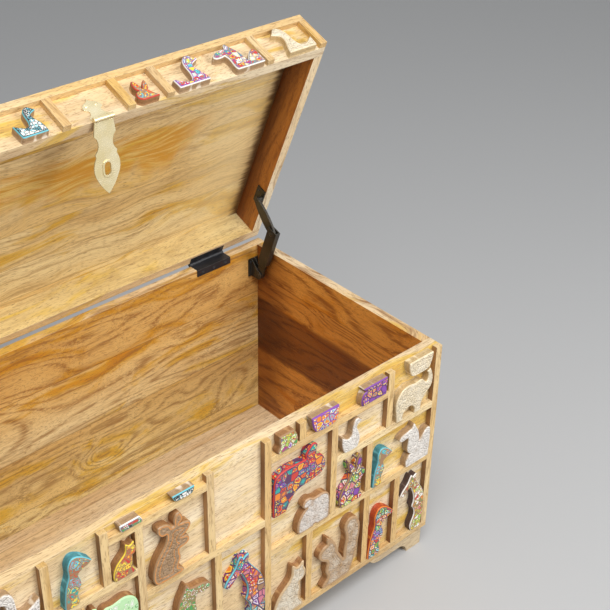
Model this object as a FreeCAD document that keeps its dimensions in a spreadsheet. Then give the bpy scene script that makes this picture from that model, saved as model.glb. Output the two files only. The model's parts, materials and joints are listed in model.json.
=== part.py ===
import FreeCAD, Part
import math
import os
from FreeCAD import Placement, Rotation, Vector

# Driving dimensions, in millimetres and degrees
DIMENSIONS = {
    # Carcass
    "width": 850,
    "depth": 450,
    "wall": 18,
    "body_height": 396,
    "bottom_thickness": 12,
    "bottom_rise": 13,
    "groove_depth": 7,
    "board_clearance": 0.2,
    # Bracket feet
    "foot_height": 50,
    "foot_length": 134,
    "foot_pad": 35,
    "foot_band": 28,
    # Lid
    "lid_height": 71,
    "lid_panel": 20,
    "lid_rabbet": 9,
    "saw_kerf": 0.6,
    "lid_open_angle": 68,
    # Slats and animals glued to the front
    "slat_width": 13,
    "slat_thickness": 10,
    "figure_thickness": 14,
    # Butt hinges
    "hinge_inset": 84,
    "hinge_length": 75,
    "hinge_leaf": 1.8,
    "hinge_mortise": 1.6,
    "hinge_flange": 13,
    "hinge_lid_leaf": 13,
    "hinge_knuckle": 4,
    "hinge_pin": 1.6,
    "knuckle_gap": 0.3,
    "knuckle_room": 0.5,
    "running_clearance": 0.05,
    # Lid stays
    "stay_inset": 12,
    "stay_back": 42.6,
    "stay_drop": 51,
    "stay_reach": 108,
    "stay_rise": 5,
    "stay_plate": 4,
    "stay_sheet": 2,
    "stay_side_gap": 0.6,
    "stay_pin": 2.5,
    "stay_sleeve_length": 82,
    "stay_sleeve_depth": 22,
    "stay_sleeve_web": 12,
    "stay_eye": 8,
    "stay_top_eye": 6,
    "stay_leaf": 11,
    "stay_bracket_plate": 2.5,
    "stay_bracket_width": 22,
    "stay_bracket_height": 36,
    "stay_lid_plate_length": 36,
    "stay_lid_plate_height": 21,
    "open_pivot_clearance": 0.4,
    # Hasp
    "hasp_barrel": 33,
    "hasp_knuckle": 4,
    "hasp_end_knuckle": 8.5,
    "hasp_pin": 1.5,
    "hasp_plate": 1.6,
    "hasp_plate_height": 44,
    "hasp_strap": 2,
    "hasp_strap_length": 118,
    "hasp_slot_drop": 78,
    "hasp_slot_width": 11,
    "hasp_slot_length": 21,
    "hasp_slot_rim": 3,
    "hasp_rim_height": 1.2,
    "hasp_wood_gap": 0.4,
    "hasp_axis_drop": 0.5,
}

# Upright slats: middle line as a share of the width from the hasp, then what the two ends of each
# length butt on
UPRIGHTS = {
    "upright_far_left": (-0.388, (("shelf_left", "seam"),)),
    "upright_low_left": (-0.335, (("rail", "shelf_left"),)),
    "upright_left": (-0.2805, (("shelf_left", "seam"),)),
    "upright_mouse": (-0.2154, (("rail", "shelf_mouse"),)),
    "upright_hasp": (-0.0686, (("shelf_hasp", "seam"),)),
    "upright_giraffe": (-0.0565, (("rail", "shelf_hasp"),)),
    "upright_middle": (0.0585, (("rail", "seam"),)),
    "upright_top": (0.1396, (("shelf_top", "seam"),)),
    "upright_low": (0.1618, (("rail", "shelf_low"),)),
    "upright_rabbit": (0.2198, (("shelf_low", "shelf_top"),)),
    "upright_long": (0.3144, (("rail", "shelf_low"), ("shelf_low", "shelf_right"))),
    "upright_right": (0.3631, (("shelf_right", "seam"),)),
    "upright_low_right": (0.3996, (("rail", "shelf_low"),)),
}

# Cross slats: middle line below the seam as a share of the body's height, then what the left and
# right ends butt on
CROSSES = {
    "shelf_left": (0.2566, "left", "upright_mouse"),
    "shelf_low_left": (0.606, "left", "upright_low_left"),
    "shelf_mouse": (0.0497, "upright_left", "upright_hasp"),
    "shelf_hasp": (0.3939, "upright_mouse", "upright_middle"),
    "shelf_top": (0.0997, "upright_middle", "upright_right"),
    "shelf_right": (0.29, "upright_rabbit", "right"),
    "shelf_low": (0.575, "upright_middle", "right"),
}

# Outlines of the carved animals in hundredths of their height, as runs from corner to corner: two
# points are a straight saw cut and more points are one curve
OUTLINES = {
    "elephant": (
        ((8, 0), (26, 0)),
        ((26, 0), (29, 20), (44, 27), (58, 20), (62, 0)),
        ((62, 0), (80, 0)),
        ((80, 0), (82, 22), (93, 38), (106, 48), (112, 64), (110, 82), (104, 98)),
        ((104, 98), (94, 93)),
        ((94, 93), (99, 77), (94, 66), (86, 74), (74, 82)),
        ((74, 82), (58, 79), (40, 83), (18, 76), (4, 54), (5, 26), (8, 0)),
    ),
    "calf": (
        ((0, 0), (24, 0)),
        ((24, 0), (30, 12), (42, 26), (56, 31)),
        ((56, 31), (76, 32), (94, 36)),
        ((94, 36), (101, 47), (99, 62), (92, 72)),
        ((92, 72), (84, 76), (82, 84), (85, 94)),
        ((85, 94), (76, 100), (70, 95)),
        ((70, 95), (63, 87), (62, 77)),
        ((62, 77), (40, 79), (14, 78), (2, 70)),
        ((2, 70), (0, 36), (0, 0)),
    ),
    "rabbit": (
        ((7, 0), (55, 0)),
        ((55, 0), (56, 9), (51, 16), (53, 32), (52, 44), (61, 52), (61, 62), (48, 70)),
        ((48, 70), (54, 84), (47, 100), (41, 88), (39, 72)),
        ((39, 72), (31, 86), (22, 95), (21, 82), (29, 68)),
        ((29, 68), (23, 56), (11, 42), (3, 26), (2, 11), (7, 0)),
    ),
    "giraffe": (
        ((27, 0), (42, 0)),
        ((42, 0), (46, 20), (47, 44), (43, 64), (33, 80), (27, 90)),
        ((27, 90), (28, 99), (22, 95)),
        ((22, 95), (20, 100), (15, 93)),
        ((15, 93), (4, 80), (1, 73), (5, 70), (12, 76), (20, 79)),
        ((20, 79), (25, 66), (27, 54), (24, 44)),
        ((24, 44), (29, 36), (30, 28), (27, 20), (27, 0)),
    ),
    "mouse": (
        ((10, 0), (46, 0)),
        ((46, 0), (50, 5), (41, 12), (46, 28), (43, 40), (58, 44), (60, 50), (48, 58)),
        ((48, 58), (60, 66), (63, 74), (55, 79), (45, 81)),
        ((45, 81), (51, 91), (44, 100), (38, 92), (38, 82)),
        ((38, 82), (34, 81)),
        ((34, 81), (26, 91), (14, 91), (14, 80), (26, 74)),
        ((26, 74), (24, 60), (12, 44), (4, 24), (4, 8), (10, 0)),
    ),
    "squirrel": (
        ((20, 0), (62, 0)),
        ((62, 0), (66, 6), (58, 13), (61, 30), (59, 44), (69, 52), (74, 62), (69, 71), (60, 75)),
        ((60, 75), (60, 87), (52, 79)),
        ((52, 79), (44, 66), (40, 52), (34, 41), (30, 33)),
        ((30, 33), (29, 50), (27, 70), (31, 86), (20, 98), (8, 91), (3, 70), (6, 44), (12, 18), (20, 0)),
    ),
    "cat": (
        ((4, 0), (58, 0)),
        ((58, 0), (56, 10), (50, 20), (52, 40), (50, 52)),
        ((50, 52), (60, 58), (62, 68), (58, 78)),
        ((58, 78), (57, 90), (50, 83)),
        ((50, 83), (44, 83)),
        ((44, 83), (37, 91), (35, 80)),
        ((35, 80), (32, 66), (16, 52), (3, 32), (0, 12), (4, 0)),
    ),
    "lamb": (
        ((6, 0), (54, 0)),
        ((54, 0), (60, 7), (67, 0)),
        ((67, 0), (108, 0)),
        ((108, 0), (110, 40), (108, 74)),
        ((108, 74), (98, 88), (80, 94), (60, 92), (48, 97)),
        ((48, 97), (40, 102), (28, 100), (20, 92), (18, 82)),
        ((18, 82), (24, 75), (32, 73)),
        ((32, 73), (20, 64), (7, 46), (2, 26), (2, 10), (6, 0)),
    ),
    "goose": (
        ((16, 0), (58, 0)),
        ((58, 0), (66, 14), (70, 34), (72, 58)),
        ((72, 58), (60, 50), (46, 44), (38, 48)),
        ((38, 48), (34, 62), (33, 78), (27, 94), (16, 100), (8, 93)),
        ((8, 93), (0, 86)),
        ((0, 86), (10, 82)),
        ((10, 82), (18, 76), (16, 62), (9, 46), (6, 28), (9, 12), (16, 0)),
    ),
    "parrot": (
        ((0, 0), (22, 0)),
        ((22, 0), (27, 8), (24, 20), (28, 30), (33, 42), (30, 54), (28, 62)),
        ((28, 62), (36, 68), (46, 71), (55, 76)),
        ((55, 76), (46, 86), (34, 96), (22, 100), (15, 94)),
        ((15, 94), (11, 80), (12, 66), (7, 52), (3, 36), (0, 0)),
    ),
    "horse": (
        ((24, 0), (84, 0)),
        ((84, 0), (86, 30), (86, 62)),
        ((86, 62), (80, 72), (70, 66), (56, 50)),
        ((56, 50), (54, 66), (50, 80), (44, 90)),
        ((44, 90), (38, 100), (34, 91)),
        ((34, 91), (18, 88), (3, 82), (0, 75), (8, 72), (23, 74)),
        ((23, 74), (25, 56), (24, 40), (35, 30)),
        ((35, 30), (26, 24), (22, 12), (24, 0)),
    ),
}

# Carved animals on the front: kind, the slats on the left and right, the floor and the roof of the
# cell, the shares of the cell across and up that the animal may fill, and 1 where it looks the way
# its outline is drawn or -1 where it is turned about
FIGURES = (
    ("rabbit", "upright_middle", "upright_top", "shelf_top", "lid_rail", (0.04, 0.96), (0.01, 0.79), -1),
    ("goose", "upright_top", "upright_right", "shelf_top", "lid_rail", (0.02, 0.42), (0.01, 0.97), -1),
    ("horse", "upright_top", "upright_right", "shelf_top", "lid_rail", (0.52, 0.98), (0.01, 0.97), 1),
    ("goose", "upright_right", "right", "shelf_right", "lid_rail", (0.2, 0.98), (0.47, 0.985), 1),
    ("elephant", "upright_right", "right", "shelf_right", "lid_rail", (0.05, 0.92), (0.004, 0.46), 1),
    ("calf", "upright_middle", "upright_rabbit", "shelf_low", "shelf_top", (0.003, 0.88), (0.385, 0.985), 1),
    ("lamb", "upright_middle", "upright_rabbit", "shelf_low", "shelf_top", (0.4, 0.995), (0.004, 0.375), 1),
    ("rabbit", "upright_rabbit", "upright_long", "shelf_low", "shelf_right", (0.08, 0.92), (0.004, 0.93), 1),
    ("goose", "upright_rabbit", "upright_right", "shelf_right", "shelf_top", (0.01, 0.5), (0.01, 0.95), -1),
    ("parrot", "upright_long", "right", "shelf_low", "shelf_right", (0.01, 0.33), (0.004, 0.77), 1),
    ("horse", "upright_long", "right", "shelf_low", "shelf_right", (0.44, 0.995), (0.004, 0.93), 1),
    ("cat", "upright_middle", "upright_low", "rail", "shelf_low", (0.04, 0.96), (0.004, 0.73), 1),
    ("squirrel", "upright_low", "upright_long", "rail", "shelf_low", (0.08, 0.94), (0.004, 0.87), -1),
    ("parrot", "upright_long", "upright_low_right", "rail", "shelf_low", (0.01, 0.99), (0.004, 0.82), 1),
    ("giraffe", "upright_low_right", "right", "rail", "shelf_low", (0.02, 0.98), (0.004, 0.91), 1),
    ("giraffe", "upright_giraffe", "upright_middle", "rail", "shelf_hasp", (0.02, 0.98), (0.08, 0.89), 1),
    ("horse", "upright_mouse", "upright_giraffe", "rail", "shelf_hasp", (0.05, 0.95), (0.385, 0.92), -1),
    ("lamb", "upright_mouse", "upright_giraffe", "rail", "shelf_hasp", (0.08, 0.92), (0.004, 0.31), -1),
    ("mouse", "upright_mouse", "upright_hasp", "shelf_hasp", "shelf_mouse", (0.05, 0.75), (0.01, 0.95), 1),
    ("cat", "upright_left", "upright_hasp", "shelf_mouse", "lid_rail", (0.02, 0.43), (0.01, 0.82), 1),
    ("goose", "upright_left", "upright_hasp", "shelf_mouse", "lid_rail", (0.55, 0.95), (0.01, 0.9), -1),
    ("cat", "upright_left", "upright_mouse", "shelf_left", "shelf_mouse", (0.03, 0.97), (0.01, 0.84), 1),
    ("elephant", "upright_low_left", "upright_mouse", "rail", "shelf_left", (0.05, 0.95), (0.7, 0.97), -1),
    ("rabbit", "upright_low_left", "upright_mouse", "rail", "shelf_left", (0.06, 0.94), (0.004, 0.57), 1),
    ("goose", "left", "upright_far_left", "shelf_left", "seam", (0.05, 0.95), (0.01, 0.94), 1),
    ("parrot", "upright_far_left", "upright_left", "shelf_left", "seam", (0.2, 0.8), (0.01, 0.94), 1),
    ("horse", "left", "upright_low_left", "shelf_low_left", "shelf_left", (0.05, 0.95), (0.01, 0.86), -1),
    ("lamb", "left", "upright_low_left", "rail", "shelf_low_left", (0.03, 0.97), (0.004, 0.57), 1),
    ("rabbit", "left", "upright_far_left", "lid", "lid_rail", (0.2, 0.8), (0.02, 0.95), 1),
    ("elephant", "upright_far_left", "upright_left", "lid", "lid_rail", (0.08, 0.92), (0.02, 0.95), 1),
)

doc = FreeCAD.newDocument("trunk")
sheet = doc.addObject("Spreadsheet::Sheet", "dims")
SLAT_SHARES = {name: row[0] for name, row in {**UPRIGHTS, **CROSSES}.items()}
for number, (alias, amount) in enumerate({**DIMENSIONS, **SLAT_SHARES}.items(), start=1):
    sheet.set(f"A{number}", alias)
    sheet.set(f"B{number}", str(amount))
    sheet.setAlias(f"B{number}", alias)
doc.recompute()


def value(expression):
    """An expression on the sheet as a plain number."""
    return float(sheet.evalExpression(expression))


def size(alias):
    """A driving dimension as a plain number."""
    return value(f"dims.{alias}")


# Places that many pieces share, as expressions on the sheet
SEAM = "(dims.foot_height + dims.body_height)"
LID_BASE = f"({SEAM} + dims.saw_kerf)"
LID_TOP = f"({LID_BASE} + dims.lid_height)"
LEFT, FRONT = "(-dims.width / 2)", "(-dims.depth / 2)"
RIGHT, BACK = "(dims.width / 2)", "(dims.depth / 2)"
INNER_LEFT, INNER_FRONT = f"({LEFT} + dims.wall)", f"({FRONT} + dims.wall)"
INNER_RIGHT, INNER_BACK = f"({RIGHT} - dims.wall)", f"({BACK} - dims.wall)"
RAIL_TOP = "(dims.foot_height + dims.slat_width)"
LID_RAIL = f"({LID_TOP} - dims.slat_width)"
HINGE_Y = f"({BACK} + dims.hinge_knuckle + dims.knuckle_gap)"
HINGE_Z = f"({SEAM} + dims.saw_kerf / 2)"
HASP_Y = f"({FRONT} - dims.hasp_wood_gap - dims.hasp_knuckle)"
HASP_Z = f"({SEAM} - dims.hasp_axis_drop)"
STATIONS = (("left", -1), ("right", 1))

# The lid is drawn shut and stands open, turned back about its hinge axis
open_turn = Rotation(Vector(1, 0, 0), -size("lid_open_angle"))
hinge_axis = Vector(0, value(HINGE_Y), value(HINGE_Z))
LID_OPEN = Placement(hinge_axis - open_turn.multVec(hinge_axis), open_turn)

nodes = []


def node(label, pieces, placement=Placement()):
    """One sub-part, kept for export: its solids grouped under their own label and placement."""
    group = doc.addObject("Part::Compound", label)
    group.Links = pieces if isinstance(pieces, list) else [pieces]
    group.Label = label
    group.Placement = placement
    nodes.append(group)


def span(start, end):
    """A start and a length from two ends, all expressions."""
    return start, f"{end} - {start}"


def grown(stretch):
    """A board's stretch with its clearance at both ends."""
    start, length = stretch
    return f"{start} - dims.board_clearance", f"{length} + 2 * dims.board_clearance"


def block(name, x, y, z):
    """A rectangular board: each direction is a start and a length, both expressions."""
    board = doc.addObject("Part::Box", name)
    for length_name, axis, (start, length) in zip(("Length", "Width", "Height"), "xyz", (x, y, z)):
        board.setExpression(length_name, length)
        board.setExpression(f"Placement.Base.{axis}", start)
    return board


def rod(name, radius, x, y, z):
    """A round bar along X: a start and a length, then the place of its axis, all expressions."""
    bar = doc.addObject("Part::Cylinder", name)
    start, length = x
    bar.Placement = Placement(Vector(), Rotation(Vector(0, 0, 1), Vector(1, 0, 0)))
    bar.setExpression("Radius", radius)
    bar.setExpression("Height", length)
    for axis, place in zip("xyz", (start, y, z)):
        bar.setExpression(f"Placement.Base.{axis}", place)
    return bar


def joined(name, pieces):
    """Pieces of one solid fused together."""
    solid = doc.addObject("Part::MultiFuse", name)
    solid.Shapes = pieces
    return solid


def cut(name, base, tools):
    """A piece with the spaces of other pieces taken out of it."""
    spaces = doc.addObject("Part::Compound", name + "_spaces")
    spaces.Links = tools
    result = doc.addObject("Part::Cut", name)
    result.Base = base
    result.Tool = spaces
    return result


def body_sketch(body, role, name, curves):
    """A sketch of the given curves on one of the body's own origin planes."""
    sketch = body.newObject("Sketcher::SketchObject", name)
    plane = next(feature for feature in body.Origin.OriginFeatures if feature.Role == role)
    sketch.AttachmentSupport = [(plane, "")]
    sketch.MapMode = "FlatFace"
    for curve in curves:
        sketch.addGeometry(curve, False)
    return sketch


def pad(body, sketch, length, reverse=False, both=False):
    """Material added on a sketch, over a length given as an expression."""
    feature = body.newObject("PartDesign::Pad", sketch.Name + "_pad")
    feature.Profile = sketch
    feature.Midplane = both
    feature.Reversed = reverse
    feature.setExpression("Length", length)
    return feature


def pocket(body, sketch, length):
    """Material taken out evenly to both sides of a sketch, over a length given as an expression."""
    doc.recompute()
    before = body.Shape.Volume
    feature = body.newObject("PartDesign::Pocket", sketch.Name + "_pocket")
    feature.Profile = sketch
    feature.Midplane = True
    feature.setExpression("Length", length)
    doc.recompute()
    if body.Shape.Volume >= before:
        raise RuntimeError(f"{feature.Label} takes nothing out of {body.Label}")
    return feature


def line(start, end):
    return Part.LineSegment(Vector(*start), Vector(*end))


def bend(start, middle, end, cuts=5):
    """A round edge through three points, sheared in a few straight cuts."""
    edge_line = Part.ArcOfCircle(Vector(*start), Vector(*middle), Vector(*end)).toShape()
    corners = edge_line.discretize(Number=cuts + 1)
    return [Part.LineSegment(first, last) for first, last in zip(corners, corners[1:])]


def circle(centre, radius):
    return Part.Circle(Vector(*centre), Vector(0, 0, 1), radius)


def chords(points):
    """A smooth curve through points, sawn in two straight cuts from each point to the next."""
    curve = Part.BSplineCurve()
    curve.interpolate([Vector(*point) for point in points])
    corners = curve.toShape().discretize(Number=2 * len(points) - 1)
    return [Part.LineSegment(start, end) for start, end in zip(corners, corners[1:])]


def polygon(corners):
    """Straight lines around corners."""
    return [line(start, end) for start, end in zip(corners, corners[1:] + corners[:1])]


def mirrored(runs):
    """Lines and round edges down one side of a middle line, and the same back up its other side."""
    back = [[(-x, y) for x, y in reversed(run)] for run in reversed(runs)]
    curves = []
    for run in list(runs) + back:
        curves += [line(*run)] if len(run) == 2 else bend(*run)
    return curves


# Bottom board in its groove, and the four walls around it
FULL_X, FULL_Y = (LEFT, "dims.width"), span(INNER_FRONT, INNER_BACK)
BODY_Z, LID_Z = ("dims.foot_height", "dims.body_height"), (LID_BASE, "dims.lid_height")
FRONT_Y, BACK_Y = (FRONT, "dims.wall"), (INNER_BACK, "dims.wall")
LEFT_X, RIGHT_X = (LEFT, "dims.wall"), (INNER_RIGHT, "dims.wall")
BOTTOM = (
    span(f"({INNER_LEFT} - dims.groove_depth)", f"({INNER_RIGHT} + dims.groove_depth)"),
    span(f"({INNER_FRONT} - dims.groove_depth)", f"({INNER_BACK} + dims.groove_depth)"),
    ("dims.foot_height + dims.bottom_rise", "dims.bottom_thickness"),
)
node("bottom_panel", block("bottom_board", *BOTTOM))
bottom_groove = block("bottom_groove", *[grown(stretch) for stretch in BOTTOM])


def hinge_start(sign):
    """Left end of the hinge on one side, which lies the same way in from either end of the trunk."""
    middle = f"{sign} * ({RIGHT} - dims.hinge_inset - dims.hinge_length / 2)"
    return f"({middle} - dims.hinge_length / 2)"


back_mortises, rim_mortises = [], []
for side, sign in STATIONS:
    mortise_x = grown((hinge_start(sign), "dims.hinge_length"))
    box_mortise_z = (f"{SEAM} - dims.hinge_mortise", "dims.hinge_mortise")
    lid_mortise_y = span(f"({BACK} - dims.hinge_lid_leaf - dims.board_clearance)", BACK)
    lid_mortise_z = (LID_BASE, "dims.hinge_mortise")
    back_mortises.append(block(f"{side}_box_mortise", mortise_x, BACK_Y, box_mortise_z))
    rim_mortises.append(block(f"{side}_lid_mortise", mortise_x, lid_mortise_y, lid_mortise_z))
WALLS = {
    "front_panel": (FULL_X, FRONT_Y, []),
    "back_panel": (FULL_X, BACK_Y, back_mortises),
    "left_side_panel": (LEFT_X, FULL_Y, []),
    "right_side_panel": (RIGHT_X, FULL_Y, []),
}
for label, (x, y, spaces) in WALLS.items():
    node(label, cut(label + "_wood", block(label + "_blank", x, y, BODY_Z), [bottom_groove] + spaces))

# Lid: a top board let into a rabbet of four rims
LID_BOARD = (
    span(f"({INNER_LEFT} - dims.lid_rabbet)", f"({INNER_RIGHT} + dims.lid_rabbet)"),
    span(f"({INNER_FRONT} - dims.lid_rabbet)", f"({INNER_BACK} + dims.lid_rabbet)"),
    (f"{LID_TOP} - dims.lid_panel", "dims.lid_panel"),
)
node("lid_top_panel", block("lid_board", *LID_BOARD), LID_OPEN)
board_x, board_y, board_z = LID_BOARD
lid_rabbet = block("lid_rabbet_space", grown(board_x), grown(board_y), board_z)
RIMS = {
    "lid_front_rim": (FULL_X, FRONT_Y, []),
    "lid_back_rim": (FULL_X, BACK_Y, rim_mortises),
    "lid_left_rim": (LEFT_X, FULL_Y, []),
    "lid_right_rim": (RIGHT_X, FULL_Y, []),
}
for label, (x, y, spaces) in RIMS.items():
    node(label, cut(label + "_wood", block(label + "_blank", x, y, LID_Z), [lid_rabbet] + spaces), LID_OPEN)


# Bracket feet: a pad on the floor, a quarter-round arch and a band with a rounded end
def foot(name, sign_x, sign_y):
    """A corner foot of two brackets, drawn from the corner inwards."""
    body = doc.addObject("PartDesign::Body", name)
    body.Placement = Placement(Vector(sign_x * value(RIGHT), sign_y * value(BACK), 0), Rotation())
    tall, pad_length, length = size("foot_height"), size("foot_pad"), size("foot_length")
    band = size("foot_band")
    hollow = tall - band
    arch, turn = pad_length + hollow, length - band
    slant = math.sqrt(0.5)
    for role, inward, reverse in (("XZ_Plane", -sign_x, sign_y < 0), ("YZ_Plane", -sign_y, sign_x > 0)):
        def at(along, up, inward=inward):
            return inward * along, up

        curves = [
            line(at(0, 0), at(pad_length, 0)),
            *bend(at(pad_length, 0), at(arch - slant * hollow, slant * hollow), at(arch, hollow), 7),
            line(at(arch, hollow), at(turn, hollow)),
            *bend(at(turn, hollow), at(turn + slant * band, tall - slant * band), at(length, tall), 7),
            line(at(length, tall), at(0, tall)),
            line(at(0, tall), at(0, 0)),
        ]
        pad(body, body_sketch(body, role, f"{name}_{role}", curves), "dims.wall", reverse)
    return body


for end, sign_y in (("front", -1), ("rear", 1)):
    for side, sign_x in STATIONS:
        node(f"{end}_{side}_foot", foot(f"{end}_{side}_bracket", sign_x, sign_y))

# Slats on the front: a rail, a stile at each end, then uprights and cross slats that butt together
SLAT_Y = (f"{FRONT} - dims.slat_thickness", "dims.slat_thickness")
BODY_STILE_Z, LID_STILE_Z = span(RAIL_TOP, SEAM), span(LID_BASE, LID_RAIL)
LEFT_STILE, RIGHT_STILE = (LEFT, "dims.slat_width"), (f"{RIGHT} - dims.slat_width", "dims.slat_width")
BOTTOM_RAIL_Z, TOP_RAIL_Z = ("dims.foot_height", "dims.slat_width"), (LID_RAIL, "dims.slat_width")
node("front_bottom_rail", block("bottom_rail", FULL_X, SLAT_Y, BOTTOM_RAIL_Z))
node("lid_top_rail", block("top_rail", FULL_X, SLAT_Y, TOP_RAIL_Z), LID_OPEN)
stiles, lid_stiles = [], []
for side, x in (("left", LEFT_STILE), ("right", RIGHT_STILE)):
    stiles.append(block(f"{side}_stile", x, SLAT_Y, BODY_STILE_Z))
    lid_stiles.append(block(f"{side}_lid_stile", x, SLAT_Y, LID_STILE_Z))
node("front_stiles", stiles)
node("lid_stiles", lid_stiles, LID_OPEN)
LEVELS = {"seam": SEAM, "rail": RAIL_TOP, "lid": LID_BASE, "lid_rail": LID_RAIL}


def level(name, above):
    """Height of a rail, the seam, or the face of a cross slat that a piece stands on or under."""
    if name in LEVELS:
        return LEVELS[name]
    side = "+" if above else "-"
    return f"({SEAM} - dims.{name} * dims.body_height {side} dims.slat_width / 2)"


def edge(name, right_of):
    """Place of the face of a stile or an upright that a piece lies right or left of."""
    if name == "left":
        return f"({LEFT} + dims.slat_width)"
    if name == "right":
        return f"({RIGHT} - dims.slat_width)"
    side = "+" if right_of else "-"
    return f"(dims.{name} * dims.width {side} dims.slat_width / 2)"


uprights, lid_uprights, crosses = [], [], []
for name, (share, lengths) in UPRIGHTS.items():
    x = (edge(name, False), "dims.slat_width")
    for low, high in lengths:
        uprights.append(block(f"{name}_on_{low}", x, SLAT_Y, span(level(low, True), level(high, False))))
        if high == "seam":
            lid_uprights.append(block(name + "_on_lid", x, SLAT_Y, LID_STILE_Z))
for name, (share, left, right) in CROSSES.items():
    z = (level(name, False), "dims.slat_width")
    crosses.append(block(name + "_slat", span(edge(left, True), edge(right, False)), SLAT_Y, z))
node("front_upright_slats", uprights)
node("front_cross_slats", crosses)
node("lid_upright_slats", lid_uprights, LID_OPEN)

# Carved animals, glued across the seam with the lid shut and sawn through with it
SAWN_Y = span(f"({FRONT} - 2 * dims.figure_thickness)", FRONT)
above_seam = block("above_seam", FULL_X, SAWN_Y, LID_Z)
below_seam = block("below_seam", FULL_X, SAWN_Y, BODY_Z)


def figure(name, runs, cell_x, cell_z, across, up, looks):
    """A carved animal as large as its share of a cell allows, standing on the share's floor."""
    curves = []
    for run in runs:
        curves += [line(*run)] if len(run) == 2 else chords(run)
    points = [point for curve in curves for point in (curve.StartPoint, curve.EndPoint)]
    left, right = min(point.x for point in points), max(point.x for point in points)
    low, high = min(point.y for point in points), max(point.y for point in points)
    room_x = [cell_x[0] + share * (cell_x[1] - cell_x[0]) for share in across]
    room_z = [cell_z[0] + share * (cell_z[1] - cell_z[0]) for share in up]
    scale = min((room_x[1] - room_x[0]) / (right - left), (room_z[1] - room_z[0]) / (high - low))

    def placed(point):
        return Vector(looks * scale * (point.x - (left + right) / 2), scale * (point.y - low))

    body = doc.addObject("PartDesign::Body", name)
    body.Placement = Placement(Vector(sum(room_x) / 2, value(FRONT), room_z[0]), Rotation())
    lines = [Part.LineSegment(placed(curve.StartPoint), placed(curve.EndPoint)) for curve in curves]
    pad(body, body_sketch(body, "XZ_Plane", name + "_outline", lines), "dims.figure_thickness")
    return body, room_z[0], room_z[0] + scale * (high - low)


def sawn(name, animal, side):
    """The part of an animal that stays on one side of the seam."""
    half = doc.addObject("Part::Common", name)
    half.Base = animal
    half.Tool = side
    return half


box_animals, lid_animals = {}, {}
for number, (kind, left, right, floor, roof, across, up, looks) in enumerate(FIGURES):
    name = f"{kind}_{number}"
    cell_x = value(edge(left, True)), value(edge(right, False))
    cell_z = value(level(floor, True)), value(level(roof, False))
    animal, low, high = figure(name, OUTLINES[kind], cell_x, cell_z, across, up, looks)
    on_box, on_lid = low < value(SEAM), high > value(LID_BASE)
    if on_box:
        piece = sawn(name + "_below", animal, below_seam) if on_lid else animal
        box_animals.setdefault(kind, []).append(piece)
    if on_lid:
        piece = sawn(name + "_above", animal, above_seam) if on_box else animal
        lid_animals.setdefault(kind, []).append(piece)
for kind, pieces in box_animals.items():
    node(f"front_{kind}_figures", pieces)
for kind, pieces in lid_animals.items():
    node(f"lid_{kind}_figures", pieces, LID_OPEN)

# Butt hinges: leaves that share three knuckles in turn, let into the back board and the back rim, on a
# pin that is swaged fast in the box leaf
KNUCKLES = 3
NOTCH = "(dims.hinge_knuckle + dims.knuckle_room)"
NOTCH_Y = (f"{HINGE_Y} - {NOTCH}", f"2 * {NOTCH}")
NOTCH_Z = (f"{HINGE_Z} - {NOTCH}", f"2 * {NOTCH}")
for side, sign in STATIONS:
    hinge_x = (hinge_start(sign), "dims.hinge_length")
    box_leaf_z = f"({SEAM} - dims.hinge_mortise)"
    lid_leaf_z = f"({LID_BASE} + dims.hinge_mortise - dims.hinge_leaf)"
    flange_y = f"({INNER_BACK} - dims.hinge_leaf)"
    flange_z = span(f"({SEAM} - dims.hinge_flange)", f"({box_leaf_z} + dims.hinge_leaf)")
    lid_leaf_y = span(f"({BACK} - dims.hinge_lid_leaf)", HINGE_Y)
    box_solids = [
        block(f"{side}_box_plate", hinge_x, span(flange_y, HINGE_Y), (box_leaf_z, "dims.hinge_leaf")),
        block(f"{side}_box_flange", hinge_x, (flange_y, "dims.hinge_leaf"), flange_z),
    ]
    lid_solids = [block(f"{side}_lid_plate", hinge_x, lid_leaf_y, (lid_leaf_z, "dims.hinge_leaf"))]
    box_spaces, lid_spaces = [], []
    for number in range(KNUCKLES):
        own, other_spaces = (box_solids, lid_spaces) if number % 2 == 0 else (lid_solids, box_spaces)
        start = f"({hinge_start(sign)} + {number} * dims.hinge_length / {KNUCKLES})"
        knuckle_x = (f"{start} + dims.knuckle_gap / 2", f"dims.hinge_length / {KNUCKLES} - dims.knuckle_gap")
        notch_x = (f"{start} - dims.knuckle_gap / 2", f"dims.hinge_length / {KNUCKLES} + dims.knuckle_gap")
        label = f"{side}_knuckle_{number}"
        own.append(rod(label, "dims.hinge_knuckle", knuckle_x, HINGE_Y, HINGE_Z))
        other_spaces.append(block(label + "_notch", notch_x, NOTCH_Y, NOTCH_Z))
    bore = rod(f"{side}_hinge_bore", "dims.hinge_pin + dims.running_clearance", hinge_x, HINGE_Y, HINGE_Z)
    pin_x = (f"{hinge_start(sign)} + dims.hinge_length / 6", "dims.hinge_length * 2 / 3")
    pin = rod(f"{side}_hinge_pin", "dims.hinge_pin", pin_x, HINGE_Y, HINGE_Z)
    box_blank = cut(f"{side}_box_leaf_blank", joined(f"{side}_box_leaf_solid", box_solids), box_spaces)
    lid_blank = joined(f"{side}_lid_leaf_blank", lid_solids)
    node(f"{side}_hinge_box_leaf", joined(f"{side}_box_leaf", [box_blank, pin]))
    node(f"{side}_hinge_lid_leaf", cut(f"{side}_lid_leaf", lid_blank, lid_spaces + [bore]), LID_OPEN)

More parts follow.
